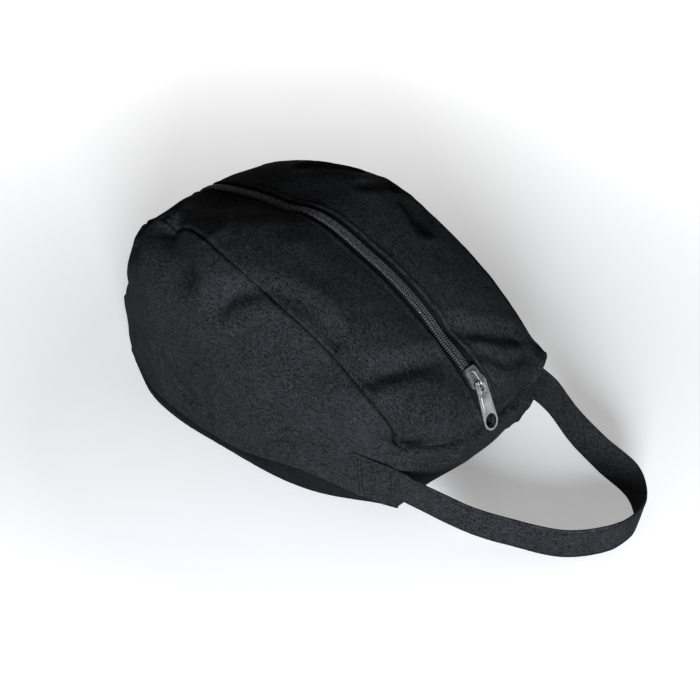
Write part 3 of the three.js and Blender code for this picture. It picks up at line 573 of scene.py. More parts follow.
def woven_material(name, colour, pitch, streak, lint, sheen, fleck, ribbed=False):
    """Plain weave: threads over and under each other, uneven in weight and tone, with a little lint."""
    material, tree, shader = node_material(name)
    nodes, links = tree.nodes, tree.links

    def math_node(operation, first, second=None):
        node = nodes.new("ShaderNodeMath")
        node.operation = operation
        for socket, value in zip(node.inputs, (first, second)):
            if value is None:
                continue
            if isinstance(value, (int, float)):
                socket.default_value = value
            else:
                links.new(value, socket)
        return node.outputs[0]

    def noise_node(vector, scale, detail=2.0, rough=0.5):
        node = nodes.new("ShaderNodeTexNoise")
        node.inputs["Scale"].default_value = scale
        node.inputs["Detail"].default_value = detail
        node.inputs["Roughness"].default_value = rough
        links.new(vector, node.inputs["Vector"])
        return node.outputs["Fac"]

    def stretched(vector, scale):
        node = nodes.new("ShaderNodeMapping")
        node.inputs["Scale"].default_value = scale
        links.new(vector, node.inputs["Vector"])
        return node.outputs["Vector"]

    uv = nodes.new("ShaderNodeUVMap")
    uv.uv_map = "cloth"
    place = nodes.new("ShaderNodeTexCoord").outputs["Object"]
    threads = stretched(uv.outputs["UV"], (1 / pitch, 1 / pitch, 1))
    parts = nodes.new("ShaderNodeSeparateXYZ")
    links.new(threads, parts.inputs["Vector"])
    warp = math_node("ABSOLUTE", math_node("SINE", math_node("MULTIPLY", parts.outputs["X"], math.pi)))
    weft = math_node("ABSOLUTE", math_node("SINE", math_node("MULTIPLY", parts.outputs["Y"], math.pi)))
    count = math_node("ADD", math_node("FLOOR", parts.outputs["X"]), math_node("FLOOR", parts.outputs["Y"]))
    over = math_node("MULTIPLY", math_node("FRACT", math_node("MULTIPLY", count, 0.5)), 2.0)
    under = math_node("SUBTRACT", 1.0, over)
    thread = math_node("ADD", math_node("MULTIPLY", warp, over), math_node("MULTIPLY", weft, under))
    if ribbed:
        thread = math_node("ADD", math_node("MULTIPLY", thread, 0.4), math_node("MULTIPLY", weft, 0.6))

    crossings = nodes.new("ShaderNodeVectorMath")
    crossings.operation = "FLOOR"
    links.new(threads, crossings.inputs[0])
    each = nodes.new("ShaderNodeTexWhiteNoise")
    each.noise_dimensions = "2D"
    links.new(crossings.outputs["Vector"], each.inputs["Vector"])
    floats = nodes.new("ShaderNodeVectorMath")
    floats.operation = "FLOOR"
    links.new(stretched(uv.outputs["UV"], (0.36 / pitch, 1 / pitch, 1)), floats.inputs[0])
    each_float = nodes.new("ShaderNodeTexWhiteNoise")
    each_float.noise_dimensions = "2D"
    links.new(floats.outputs["Vector"], each_float.inputs["Vector"])
    crossing_tone = math_node("MULTIPLY", each.outputs["Value"], 0.6)
    float_tone = math_node("MULTIPLY", each_float.outputs["Value"], 0.4)
    flecks = math_node("ADD", crossing_tone, float_tone)
    flecks = math_node("MULTIPLY", math_node("SUBTRACT", flecks, 0.5), fleck)

    weft_streaks = noise_node(stretched(uv.outputs["UV"], (0.11 / pitch, 0.62 / pitch, 1)), 1.0, 4.0, 0.7)
    warp_streaks = noise_node(stretched(uv.outputs["UV"], (0.62 / pitch, 0.13 / pitch, 1)), 1.0, 4.0, 0.7)
    blotches = noise_node(place, 24.0, 3.0, 0.55)
    weft_part = math_node("MULTIPLY", weft_streaks, 0.62)
    warp_part = math_node("MULTIPLY", warp_streaks, 0.38)
    streaks = math_node("ADD", weft_part, warp_part)
    spread = math_node("MULTIPLY", math_node("SUBTRACT", streaks, 0.5), streak)
    cloudy = math_node("MULTIPLY", math_node("SUBTRACT", blotches, 0.5), 0.5)
    tone = math_node("ADD", math_node("ADD", spread, cloudy), math_node("MULTIPLY", thread, 0.45))
    grains = math_node("SUBTRACT", noise_node(place, 400.0, 2.0, 0.6), 0.5)
    tone = math_node("ADD", math_node("ADD", tone, flecks), math_node("MULTIPLY", grains, 0.9))
    shade = math_node("MAXIMUM", math_node("ADD", tone, 0.62), 0.12)

    specks = nodes.new("ShaderNodeTexVoronoi")
    specks.inputs["Scale"].default_value = 95.0
    specks.inputs["Randomness"].default_value = 1.0
    links.new(stretched(place, (1, 1.6, 1)), specks.inputs["Vector"])
    rare = noise_node(place, 31.0, 1.0)
    small = math_node("LESS_THAN", specks.outputs["Distance"], 0.032)
    is_lint = math_node("MULTIPLY", small, math_node("GREATER_THAN", rare, 0.56))
    lint_share = math_node("MULTIPLY", is_lint, lint)

    tinted = nodes.new("ShaderNodeMix")
    tinted.data_type = "RGBA"
    tinted.blend_type = "MULTIPLY"
    tinted.inputs["Factor"].default_value = 1.0
    tinted.inputs["A"].default_value = (*colour, 1)
    grey = nodes.new("ShaderNodeCombineColor")
    for socket in grey.inputs:
        links.new(shade, socket)
    links.new(grey.outputs["Color"], tinted.inputs["B"])
    dusted = nodes.new("ShaderNodeMix")
    dusted.data_type = "RGBA"
    dusted.inputs["B"].default_value = (0.16, 0.16, 0.165, 1)
    links.new(tinted.outputs["Result"], dusted.inputs["A"])
    links.new(lint_share, dusted.inputs["Factor"])
    links.new(dusted.outputs["Result"], shader.inputs["Base Color"])

    rough = nodes.new("ShaderNodeMapRange")
    rough.inputs["To Min"].default_value = 0.92
    rough.inputs["To Max"].default_value = 0.7
    links.new(thread, rough.inputs["Value"])
    links.new(rough.outputs["Result"], shader.inputs["Roughness"])
    shader.inputs["Specular IOR Level"].default_value = 0.015
    shader.inputs["Sheen Weight"].default_value = sheen
    shader.inputs["Sheen Roughness"].default_value = 0.45
    shader.inputs["Sheen Tint"].default_value = (0.72, 0.75, 0.85, 1)

    surface = math_node("ADD", thread, math_node("MULTIPLY", streaks, 0.9))
    weave_bump = nodes.new("ShaderNodeBump")
    weave_bump.inputs["Strength"].default_value = 0.5
    weave_bump.inputs["Distance"].default_value = pitch * 0.28
    links.new(surface, weave_bump.inputs["Height"])
    soft_bump = nodes.new("ShaderNodeBump")
    soft_bump.inputs["Strength"].default_value = 0.5
    soft_bump.inputs["Distance"].default_value = 0.0009
    links.new(noise_node(place, 120.0, 3.0, 0.55), soft_bump.inputs["Height"])
    links.new(weave_bump.outputs["Normal"], soft_bump.inputs["Normal"])
    links.new(soft_bump.outputs["Normal"], shader.inputs["Normal"])
    return material


# The base panel gets the same black cloth at about half the brightness: painted shade for the shadow under
# the overhanging side hems.
BLACK, BASE_SHADED_BLACK = (0.0123, 0.0130, 0.0141), (0.0058, 0.0062, 0.0067)
black_cloth = woven_material("black_cloth", BLACK, WEAVE_PITCH, 1.6, 0.85, 0.0015, 1.6)
base_cloth = woven_material("base_cloth", BASE_SHADED_BLACK, WEAVE_PITCH, 1.2, 0.4, 0.0015, 1.0)


def thick_sheet(name, cells, top, under, material, shrink=0.0):
    """A closed sheet of cells with a top and an underside. Each cell is its points and flat places."""
    used = sorted({k for cell, _ in cells for k in cell})
    number = {k: i for i, k in enumerate(used)}
    count = len(used)
    faces, uvs = [], []
    directed = {}
    for cell, uv in cells:
        ids = [number[k] for k in cell]
        faces.append(tuple(ids))
        uvs.append(uv)
        for k in range(len(ids)):
            directed[(ids[k - 1], ids[k])] = (uv[k - 1], uv[k])
    for cell, uv in list(zip(faces, uvs)):
        faces.append(tuple(i + count for i in reversed(cell)))
        uvs.append(list(reversed(uv)))
    free = [pair for pair in directed if pair[::-1] not in directed]
    shift = np.zeros((count, 3))
    upper, lower = top[used].copy(), under[used].copy()
    if shrink:
        out = upper - lower
        for a, b in free:
            side = np.cross(out[a], upper[b] - upper[a])
            side /= max(np.linalg.norm(side), 1e-9)
            shift[a] += side
            shift[b] += side
        long = np.linalg.norm(shift, axis=1, keepdims=True)
        shift = np.where(long > 1e-6, shift / np.maximum(long, 1e-9) * shrink, 0)
    upper += shift
    lower += shift
    for a, b in free:
        uv_a, uv_b = directed[(a, b)]
        faces.append((b, a, a + count, b + count))
        uvs.append([uv_b, uv_a, uv_a, uv_b])
    piece = mesh_object(name, np.concatenate([upper, lower]) * MM, faces, material)
    layer = piece.data.uv_layers.new(name="cloth")
    layer.data.foreach_set("uv", np.array([c for uv in uvs for c in uv]).ravel() * MM)
    piece.data.set_sharp_from_angle(angle=SHEET_EDGE)
    return piece


for panel, cells in panel_cells.items():
    is_base = panel == "base_panel"
    panel_cloth = base_cloth if is_base else black_cloth
    piece = thick_sheet(f"cloth_{panel}", cells, outer, inner, panel_cloth, SEAM_GAP)
    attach(piece, "bag")
    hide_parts(panel)


# Seam stitches
# Polyester thread in single top-stitched rows: beside the long gore seams, along both folded edges of
# the zip opening and above the front seam. Every stitch sinks into the cloth at both ends.
THREAD = 0.34
STITCH_PITCH, STITCH_LENGTH = 3.3, 2.5
STITCH_RINGS = (
    # share of the stitch's length, thickness and lift, both as shares of the thread's radius
    (0, 0.45, -0.25), (0.18, 0.95, 0.12), (0.5, 1.0, 0.3), (0.82, 0.95, 0.12), (1, 0.45, -0.25),
)
STITCH_SIDES = 6
GORE_ASIDE, SLOT_ASIDE, FRONT_ASIDE = 2.0, 3.4, 2.2
FAR_AWAY = 400.0
thread_material, thread_tree, thread_shader = node_material("black_thread")
thread_shader.inputs["Roughness"].default_value = 0.9
thread_shader.inputs["Specular IOR Level"].default_value = 0.02
thread_place = thread_tree.nodes.new("ShaderNodeTexCoord")
thread_noise = thread_tree.nodes.new("ShaderNodeTexNoise")
thread_noise.inputs["Scale"].default_value = 900.0
thread_tree.links.new(thread_place.outputs["Object"], thread_noise.inputs["Vector"])
thread_ramp = thread_tree.nodes.new("ShaderNodeValToRGB")
thread_ramp.color_ramp.elements[0].color = (0.0015, 0.0015, 0.002, 1)
thread_ramp.color_ramp.elements[1].color = (0.008, 0.008, 0.009, 1)
thread_tree.links.new(thread_noise.outputs["Fac"], thread_ramp.inputs["Fac"])
thread_tree.links.new(thread_ramp.outputs["Color"], thread_shader.inputs["Base Color"])

cloth_tree = bvhtree.BVHTree.FromPolygons([tuple(p) for p in outer], all_cells)


def on_surface(point, tree):
    place, normal, _, _ = tree.find_nearest(Vector(point))
    return np.array(place), np.array(normal)


def stitch_row(line, aside, tree, towards, thread=THREAD):
    """Stitches beside a line, on the side that lies towards a far point. Returns points and faces."""
    points, faces = [], []
    fine, length = dense(line, 0.4)
    sides = STITCH_SIDES
    for start in np.arange(STITCH_PITCH, length[-1] - STITCH_PITCH, STITCH_PITCH):
        ring_points = []
        for share, thick, lift in STITCH_RINGS:
            here = start + share * STITCH_LENGTH
            spot = np.array([np.interp(here, length, fine[:, k]) for k in range(3)])
            ahead = np.array([np.interp(here + 0.5, length, fine[:, k]) for k in range(3)]) - spot
            ahead /= max(np.linalg.norm(ahead), 1e-9)
            base_spot, normal = on_surface(spot, tree)
            across = np.cross(normal, ahead)
            if np.dot(across, towards(spot) - spot) < 0:
                across = -across
            base_spot, normal = on_surface(base_spot + across * aside, tree)
            across = np.cross(normal, ahead)
            centre = base_spot + normal * thread * lift
            for k in range(sides):
                angle = 2 * math.pi * k / sides
                turned = np.cos(angle) * across + np.sin(angle) * normal
                ring_points.append(centre + thread * thick * turned)
        first = len(points)
        points += ring_points
        rings = len(ring_points) // sides
        for i in range(rings - 1):
            for k in range(sides):
                a, b = first + i * sides + k, first + i * sides + (k + 1) % sides
                faces.append((a, b, b + sides, a + sides))
        faces.append(tuple(first + k for k in reversed(range(sides))))
        faces.append(tuple(first + (rings - 1) * sides + k for k in range(sides)))
    return points, faces


def stitch_piece(name, rows):
    points, faces = [], []
    for row_points, row_faces in rows:
        first = len(points)
        points += row_points
        faces += [tuple(first + k for k in face) for face in row_faces]
    piece = mesh_object(name, np.array(points) * MM, faces, thread_material)
    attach(piece, "bag")
    return piece


def towards_crest(spot):
    return np.array([spot[0], 0, FAR_AWAY])


def towards_side(spot):
    return np.array([spot[0], FAR_AWAY * np.sign(spot[1] + 1e-9), spot[2]])


def towards_back(spot):
    return np.array([-FAR_AWAY, spot[1], spot[2] + FAR_AWAY / 4])


for side, flip in (("near", np.ones(3)), ("far", MIRROR)):
    gore_row = stitch_row(crown_over[:, -1] * flip, GORE_ASIDE, cloth_tree, towards_crest)
    slot_row = stitch_row(slot_line[6:] * flip, SLOT_ASIDE, cloth_tree, towards_side)
    front_row = stitch_row(front_line * flip, FRONT_ASIDE, cloth_tree, towards_back)
    stitch_piece(f"stitches_gore_{side}", [gore_row])
    stitch_piece(f"stitches_zip_edge_{side}", [slot_row])
    stitch_piece(f"stitches_front_{side}", [front_row])


# Zip tapes
# Two knitted polyester tapes, sewn under the folded edges of the crown panels. The coils are sewn along
# their inner edges.
TAPE, TAPE_WIDTH, TAPE_PART, TAPE_GAP = 1.0, 17.0, 2.8, 0.6
TAPE_TOP = -(CLOTH + TAPE_GAP)
CHAIN_WIDTH, CHAIN_GAP = 11.5, 0.4
ZIP_FRONT = 0.997
TAPE_BACK = 0.1 * SLOT_POINT
TAPE_ROWS = 260


def dented_crown(s, y):
    step = 1e-4
    point = crown(s, y)
    normal = np.cross(crown(s + step, y) - crown(s - step, y), crown(s, y + step) - crown(s, y - step))
    normal /= np.linalg.norm(normal, axis=-1, keepdims=True)
    normal *= np.where(normal[..., 2:] + normal[..., :1] * np.sign(point[..., :1]) < 0, -1, 1)
    return point - normal * dent(point)[..., None]


def crown_frame(s, y):
    """A point of the dented crown and its outward direction."""
    step = 1e-4
    point = dented_crown(s, y)
    ahead = dented_crown(s + step, y) - dented_crown(s - step, y)
    over = dented_crown(s, y + 1e-2) - dented_crown(s, y - 1e-2)
    normal = np.cross(ahead, over)
    normal /= np.linalg.norm(normal, axis=-1, keepdims=True)
    normal *= np.where(normal[..., 2:] + normal[..., :1] * np.sign(point[..., :1]) < 0, -1, 1)
    return point, normal


def grid_cells(rows, columns, flat):
    cells = []
    for i in range(rows - 1):
        for j in range(columns - 1):
            ids = (i * columns + j, i * columns + j + 1, (i + 1) * columns + j + 1, (i + 1) * columns + j)
            cells.append((ids, [tuple(flat[k // columns, k % columns]) for k in ids]))
    return cells


TAPE_BLACK, KNIT_PITCH = (0.0080, 0.0083, 0.0090), 0.0007
tape_material = woven_material("zip_tape_knit", TAPE_BLACK, KNIT_PITCH, 1.0, 0.3, 0.004, 0.6, ribbed=True)
tape_rows = np.linspace(TAPE_BACK, ZIP_FRONT, TAPE_ROWS)
tape_columns = [TAPE_PART / 2, 2.2, 4.0, CHAIN_WIDTH / 2, 6.4, 7.6, 9.0, 10.4, 12.0, 15.0]
tape_columns = np.array([*tape_columns, TAPE_PART / 2 + TAPE_WIDTH])
TAPE_RELIEF = np.array([0, 0, 0, 0, 0.12, 0.22, 0.05, 0.1, 0, 0, 0])
for name, side in (("near", -1), ("far", 1)):
    across_tape = tape_columns * side
    order = np.argsort(-across_tape)
    grid, up = crown_frame(tape_rows[:, None], across_tape[order][None, :])
    top = grid + up * (TAPE_TOP + TAPE_RELIEF[order])[None, :, None]
    low = grid + up * (TAPE_TOP - TAPE)
    cells = grid_cells(*grid.shape[:2], flat_places(grid))
    top, low = top.reshape(-1, 3), low.reshape(-1, 3)
    piece = thick_sheet(f"zip_tape_knit_{name}", cells, top, low, tape_material)
    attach(piece, "bag")
    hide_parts(f"zip_tape_{name}")


# Zip coils
# Each row is one thick nylon thread wound in a flat spiral: every turn comes up from the tape, runs
# across, and ends in a head that catches between two heads of the other row.
COIL_PITCH = 2.43
COIL_THREAD = 0.46
COIL_TURN = (
    # ahead, out from the middle, up from the tape's top
    (0.62, 4.9, 0.50), (0.42, 5.25, 0.95), (0.2, 5.15, 1.75), (0.1, 4.5, 2.35), (0.05, 3.0, 2.62),
    (0.0, 1.4, 2.66), (0.0, 0.25, 2.45), (-0.02, -0.35, 1.9), (-0.05, -0.35, 1.3), (-0.1, 0.35, 0.9),
    (-0.3, 2.2, 0.85), (-0.6, 4.6, 0.85),
)
COIL_SIDES = 7
CORE, CORE_SIDES, CORE_OUT, CORE_UP, CORE_STEP = 0.55, 6, 3.1, 1.55, 3.0
ZIP_POINTS = 1200
SLIDER_AT = 0.86
SLIDER_LENGTH = 24.0
POST_FRONT, POST_LENGTH = 9.0, 4.0

coil_material, coil_tree, coil_shader = node_material("black_nylon")
coil_shader.inputs["Roughness"].default_value = 0.32
coil_shader.inputs["Specular IOR Level"].default_value = 0.5
coil_place = coil_tree.nodes.new("ShaderNodeTexCoord")
coil_noise = coil_tree.nodes.new("ShaderNodeTexNoise")
coil_noise.inputs["Scale"].default_value = 260.0
coil_noise.inputs["Detail"].default_value = 3.0
coil_tree.links.new(coil_place.outputs["Object"], coil_noise.inputs["Vector"])
coil_ramp = coil_tree.nodes.new("ShaderNodeValToRGB")
coil_ramp.color_ramp.elements[0].color = (0.020, 0.020, 0.021, 1)
coil_ramp.color_ramp.elements[1].color = (0.070, 0.070, 0.072, 1)
coil_tree.links.new(coil_noise.outputs["Fac"], coil_ramp.inputs["Fac"])
coil_tree.links.new(coil_ramp.outputs["Color"], coil_shader.inputs["Base Color"])
coil_rough = coil_tree.nodes.new("ShaderNodeMapRange")
coil_rough.inputs["To Min"].default_value = 0.2
coil_rough.inputs["To Max"].default_value = 0.36
coil_tree.links.new(coil_noise.outputs["Fac"], coil_rough.inputs["Value"])
coil_tree.links.new(coil_rough.outputs["Result"], coil_shader.inputs["Roughness"])


def middle_frame(s):
    point, normal = crown_frame(np.asarray(s, float), 0.0)
    point, normal = point * np.array([1, 0, 1]), normal * np.array([1, 0, 1])
    return point, normal / np.linalg.norm(normal, axis=-1, keepdims=True)


def tube(path, radius, sides, across_of):
    """A round tube along a path, with closed ends."""
    points, faces = [], []
    count = len(path)
    for i, centre in enumerate(path):
        way = path[min(i + 1, count - 1)] - path[max(i - 1, 0)]
        way = way / np.linalg.norm(way)
        first = across_of - way * np.dot(across_of, way)
        first /= np.linalg.norm(first)
        second = np.cross(way, first)
        for k in range(sides):
            angle = 2 * math.pi * k / sides
            points.append(centre + radius * (math.cos(angle) * first + math.sin(angle) * second))
    for i in range(count - 1):
        for k in range(sides):
            a, b = i * sides + k, i * sides + (k + 1) % sides
            faces.append((a, b, b + sides, a + sides))
    faces.append(tuple(reversed(range(sides))))
    faces.append(tuple((count - 1) * sides + k for k in range(sides)))
    return points, faces


# The last point is left out: it lies in the front seam, where the crown ends and has no direction
zip_s = np.linspace(SLOT_POINT, 1, ZIP_POINTS)[:-1]
zip_middle, zip_up = middle_frame(zip_s)
zip_length = np.concatenate([[0], np.cumsum(np.linalg.norm(np.diff(zip_middle, axis=0), axis=1))])
slider_length_at = np.interp(SLIDER_AT, zip_s, zip_length)
chain_end = slider_length_at + POST_FRONT - POST_LENGTH - 0.4


def zip_place(length):
    """Point on the tape's top, direction ahead and direction out, at a length along the zip."""
    point = np.array([np.interp(length, zip_length, zip_middle[:, k]) for k in range(3)])
    up = np.array([np.interp(length, zip_length, zip_up[:, k]) for k in range(3)])
    up /= np.linalg.norm(up)
    ahead = np.cross(np.array([0, 1.0, 0]), up)
    return point + up * TAPE_TOP, ahead, up


for name, side, late in (("near", -1, 0.0), ("far", 1, 0.5)):
    points, faces = [], []
    for at in np.arange((1 + late) * COIL_PITCH, chain_end - 1.0, COIL_PITCH):
        origin, ahead, up = zip_place(at)
        sideways = np.array([0, float(side), 0])
        path = [origin + ahead * x + sideways * y + up * z for x, y, z in COIL_TURN]
        turn_points, turn_faces = tube(path, COIL_THREAD, COIL_SIDES, ahead)
        first = len(points)
        points += turn_points
        faces += [tuple(first + k for k in face) for face in turn_faces]
    core = [zip_place(at) for at in np.arange(2.0, chain_end - 2.0, CORE_STEP)]
    core_path = [origin + np.array([0, CORE_OUT * side, 0]) + up * CORE_UP for origin, _, up in core]
    core_points, core_faces = tube(core_path, CORE, CORE_SIDES, np.array([0, 1.0, 0]))
    first = len(points)
    points += core_points
    faces += [tuple(first + k for k in face) for face in core_faces]
    piece = mesh_object(f"zip_coil_{name}", np.array(points) * MM, faces, coil_material)
    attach(piece, "bag")
    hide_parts(f"zip_chain_{name}")


# Slider and stops
# A die-cast slider with a satin finish: a top plate that widens to two shoulders, two low walls that
# hold the coils together, a post, a bottom plate and a raised bridge. Two small stops close the zip.
PLATE_LOW, PLATE_TOP = 3.7, 5.3
BOTTOM_LOW, BOTTOM_TOP = -3.6, -2.85
SLIDER_WALL, WALL_LOW, POST_LOW, SINK = 1.3, 0.35, -3.1, 0.6
NARROW, WIDE = CHAIN_WIDTH / 2 + 1.8, CHAIN_WIDTH / 2 + 4.25
BRIDGE_WIDTH, BRIDGE_TOP = 3.4, 10.9
BAR, BAR_AT, BAR_HEIGHT = 1.2, 4.6, 7.5
HANG = math.radians(26.19)

metal, metal_tree, metal_shader = node_material("satin_steel")
metal_shader.inputs["Metallic"].default_value = 1.0
metal_place = metal_tree.nodes.new("ShaderNodeTexCoord")
metal_brush = metal_tree.nodes.new("ShaderNodeMapping")
metal_brush.inputs["Scale"].default_value = (160, 1400, 160)
metal_tree.links.new(metal_place.outputs["Object"], metal_brush.inputs["Vector"])
metal_grain = metal_tree.nodes.new("ShaderNodeTexNoise")
metal_grain.inputs["Scale"].default_value = 1.0
metal_grain.inputs["Detail"].default_value = 4.0
metal_tree.links.new(metal_brush.outputs["Vector"], metal_grain.inputs["Vector"])
metal_cloud = metal_tree.nodes.new("ShaderNodeTexNoise")
metal_cloud.inputs["Scale"].default_value = 130.0
metal_cloud.inputs["Detail"].default_value = 3.0
metal_tree.links.new(metal_place.outputs["Object"], metal_cloud.inputs["Vector"])
metal_ramp = metal_tree.nodes.new("ShaderNodeValToRGB")
metal_ramp.color_ramp.elements[0].position = 0.3
metal_ramp.color_ramp.elements[0].color = (0.32, 0.32, 0.325, 1)
metal_ramp.color_ramp.elements[1].position = 0.7
metal_ramp.color_ramp.elements[1].color = (0.53, 0.53, 0.535, 1)
metal_tree.links.new(metal_cloud.outputs["Fac"], metal_ramp.inputs["Fac"])
# Ambient occlusion darkens the base colour in the corners and crevices of the slider, stops and pull:
# painted shade.
metal_corner_painted_shade = metal_tree.nodes.new("ShaderNodeAmbientOcclusion")
metal_corner_painted_shade.inputs["Distance"].default_value = 0.0022
metal_tree.links.new(metal_ramp.outputs["Color"], metal_corner_painted_shade.inputs["Color"])
metal_shade = metal_tree.nodes.new("ShaderNodeMix")
metal_shade.data_type = "RGBA"
metal_shade.blend_type = "MULTIPLY"
metal_shade.inputs["Factor"].default_value = 1.0
metal_tree.links.new(metal_corner_painted_shade.outputs["Color"], metal_shade.inputs["A"])
metal_tree.links.new(metal_corner_painted_shade.outputs["AO"], metal_shade.inputs["B"])
metal_tree.links.new(metal_shade.outputs["Result"], metal_shader.inputs["Base Color"])
metal_rough = metal_tree.nodes.new("ShaderNodeMapRange")
metal_rough.inputs["To Min"].default_value = 0.3
metal_rough.inputs["To Max"].default_value = 0.46
metal_tree.links.new(metal_grain.outputs["Fac"], metal_rough.inputs["Value"])
metal_tree.links.new(metal_rough.outputs["Result"], metal_shader.inputs["Roughness"])
metal_bump = metal_tree.nodes.new("ShaderNodeBump")
metal_bump.inputs["Strength"].default_value = 0.25
metal_bump.inputs["Distance"].default_value = 0.00008
metal_tree.links.new(metal_grain.outputs["Fac"], metal_bump.inputs["Height"])
metal_tree.links.new(metal_bump.outputs["Normal"], metal_shader.inputs["Normal"])


def smooth_outline(points, cells=4):
    """A closed outline that passes smoothly through its points."""
    points = np.array(points, float)
    count = len(points)
    out = []
    for i in range(count):
        a, b, c, d = points[i - 1], points[i], points[(i + 1) % count], points[(i + 2) % count]
        for k in range(cells):
            t = k / cells
            cubic = (3 * b - a - 3 * c + d) * t**3 + (2 * a - 5 * b + 4 * c - d) * t**2 + (c - a) * t
            out.append(b + cubic / 2)
    return out


def prism(loops, low, high, axis="z"):
    """A plate between two heights. The first loop is its outline, further loops are holes."""
    curve = bpy.data.curves.new("outline", "CURVE")
    curve.dimensions = "2D"
    curve.fill_mode = "BOTH"
    curve.extrude = (high - low) / 2 * MM
    for loop in loops:
        spline = curve.splines.new("POLY")
        spline.points.add(len(loop) - 1)
        for point, (x, y) in zip(spline.points, loop):
            point.co = (x * MM, y * MM, 0, 1)
        spline.use_cyclic_u = True
    holder = bpy.data.objects.new("outline", curve)
    bpy.context.scene.collection.objects.link(holder)
    mesh = bpy.data.meshes.new_from_object(holder.evaluated_get(bpy.context.evaluated_depsgraph_get()))
    bpy.data.objects.remove(holder)
    bpy.data.curves.remove(curve)
    mesh.transform(Matrix.Translation((0, 0, (low + high) / 2 * MM)))
    if axis == "y":
        mesh.transform(Matrix(((1, 0, 0, 0), (0, 0, -1, 0), (0, 1, 0, 0), (0, 0, 0, 1))))
    return mesh


def metal_piece(name, meshes, matrix, body):
    """Plates joined in one piece, each with its own rounded edges, and set in place."""
    parts = []
    for number, (mesh, radius) in enumerate(meshes):
        part = bpy.data.objects.new(f"{name}_{number}", mesh)
        bpy.context.scene.collection.objects.link(part)
        weld = part.modifiers.new("weld", "WELD")
        weld.merge_threshold = 1e-6
        bevel = part.modifiers.new("rounded", "BEVEL")
        bevel.width = radius * MM
        bevel.segments = 3
        bevel.limit_method = "ANGLE"
        bevel.angle_limit = math.radians(38)
        evaluated = part.evaluated_get(bpy.context.evaluated_depsgraph_get())
        done = bpy.data.meshes.new_from_object(evaluated)
        bpy.data.objects.remove(part)
        parts.append(done)
    points, faces = [], []
    for done in parts:
        first = len(points)
        points += [matrix @ v.co for v in done.vertices]
        faces += [tuple(first + k for k in p.vertices) for p in done.polygons]
    piece = mesh_object(name, points, faces, metal)
    piece.data.set_sharp_from_angle(angle=math.radians(35))
    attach(piece, body)
    return piece


slider_origin, slider_ahead, slider_up = zip_place(slider_length_at)


def placing(origin, forwards, upwards):
    across = np.cross(upwards, forwards)
    columns = [forwards, across, upwards]
    matrix = Matrix.Identity(4)
    for k, column in enumerate(columns):
        for r in range(3):
            matrix[r][k] = column[r]
    matrix.translation = Vector(origin) * MM
    return matrix


def both_sides(half):
    return [*half, *[(x, -y) for x, y in reversed(half)]]


slider_matrix = placing(slider_origin, slider_ahead, slider_up)
end = SLIDER_LENGTH / 2
top_half = [
    (-end, NARROW - 2.2), (-end + 0.7, NARROW - 0.9), (-end + 3, NARROW), (-2, NARROW + 0.5),
    (end * 0.2, WIDE - 0.5), (end * 0.45, WIDE), (end * 0.65, WIDE - 1.2), (end * 0.85, WIDE * 0.56),
    (end, 1.6),
]
top_plate = prism([smooth_outline(both_sides(top_half), 5)], PLATE_LOW, PLATE_TOP)
wall_outer = [
    (-end + 0.4, NARROW - 1.4), (-end + 3, NARROW), (-2, NARROW + 0.5),
    (end * 0.2, WIDE - 0.5), (end * 0.4, WIDE - 0.1),
]
wall_inner = [(x, y - SLIDER_WALL) for x, y in reversed(wall_outer)]
walls = [[(x, y * side) for x, y in wall_outer + wall_inner] for side in (1, -1)]
wall_meshes = [prism([loop], WALL_LOW, PLATE_LOW + SINK) for loop in walls]
bottom_half = [(-end * 0.5, NARROW - 2.6), (0, NARROW - 1.2), (POST_FRONT - 2, 3.2), (POST_FRONT, 1.2)]
bottom_plate = prism([smooth_outline(both_sides(bottom_half), 4)], BOTTOM_LOW, BOTTOM_TOP)
post_half = [(POST_FRONT - POST_LENGTH, 0.4), (POST_FRONT - POST_LENGTH / 2, 0.9), (POST_FRONT, 0.9)]
post = prism([both_sides(post_half)], POST_LOW, PLATE_LOW + SINK)
arch_foot = PLATE_TOP - SINK
arch_outer = [
    (-8.0, arch_foot), (-8.0, 7.6), (-6.9, 9.9), (-5.2, BRIDGE_TOP),
    (6.0, BRIDGE_TOP), (7.5, 10.2), (8.0, 8.8), (8.0, arch_foot),
]
arch_inner = [
    (6.4, arch_foot), (6.4, 8.6), (5.9, 9.3), (-4.6, 9.3), (-5.6, 8.8), (-6.3, 7.2), (-6.3, arch_foot),
]
bridge = prism([[(x, z) for x, z in arch_outer + arch_inner]], -BRIDGE_WIDTH / 2, BRIDGE_WIDTH / 2, axis="y")
slider_walls = [(mesh, 0.3) for mesh in wall_meshes]
slider_parts = [(top_plate, 0.5), *slider_walls, (bottom_plate, 0.3), (post, 0.15), (bridge, 0.55)]
slider_piece = metal_piece("slider", slider_parts, slider_matrix, "bag")
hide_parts("zip_slider")

STOP_LENGTH, STOP_WIDTH, STOP_HEIGHT = 3.0, 3.4, 1.8
STOP_AWAY, STOP_INSET = 2.0, 0.3
for name, side in (("near", -1), ("far", 1)):
    origin, ahead, up = zip_place(slider_length_at + SLIDER_LENGTH / 2 + STOP_AWAY + STOP_LENGTH / 2)
    inside = TAPE_PART / 2 + STOP_INSET
    low, high = sorted((side * inside, side * (inside + STOP_WIDTH)))
    reach = STOP_LENGTH / 2
    loop = [(-reach, low), (reach, low), (reach, high), (-reach, high)]
    stop = prism([loop], CHAIN_GAP, CHAIN_GAP + STOP_HEIGHT)
    stop_piece = metal_piece(f"zip_end_{name}", [(stop, 0.6)], placing(origin, ahead, up), "bag")
    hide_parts(f"zip_stop_{name}")


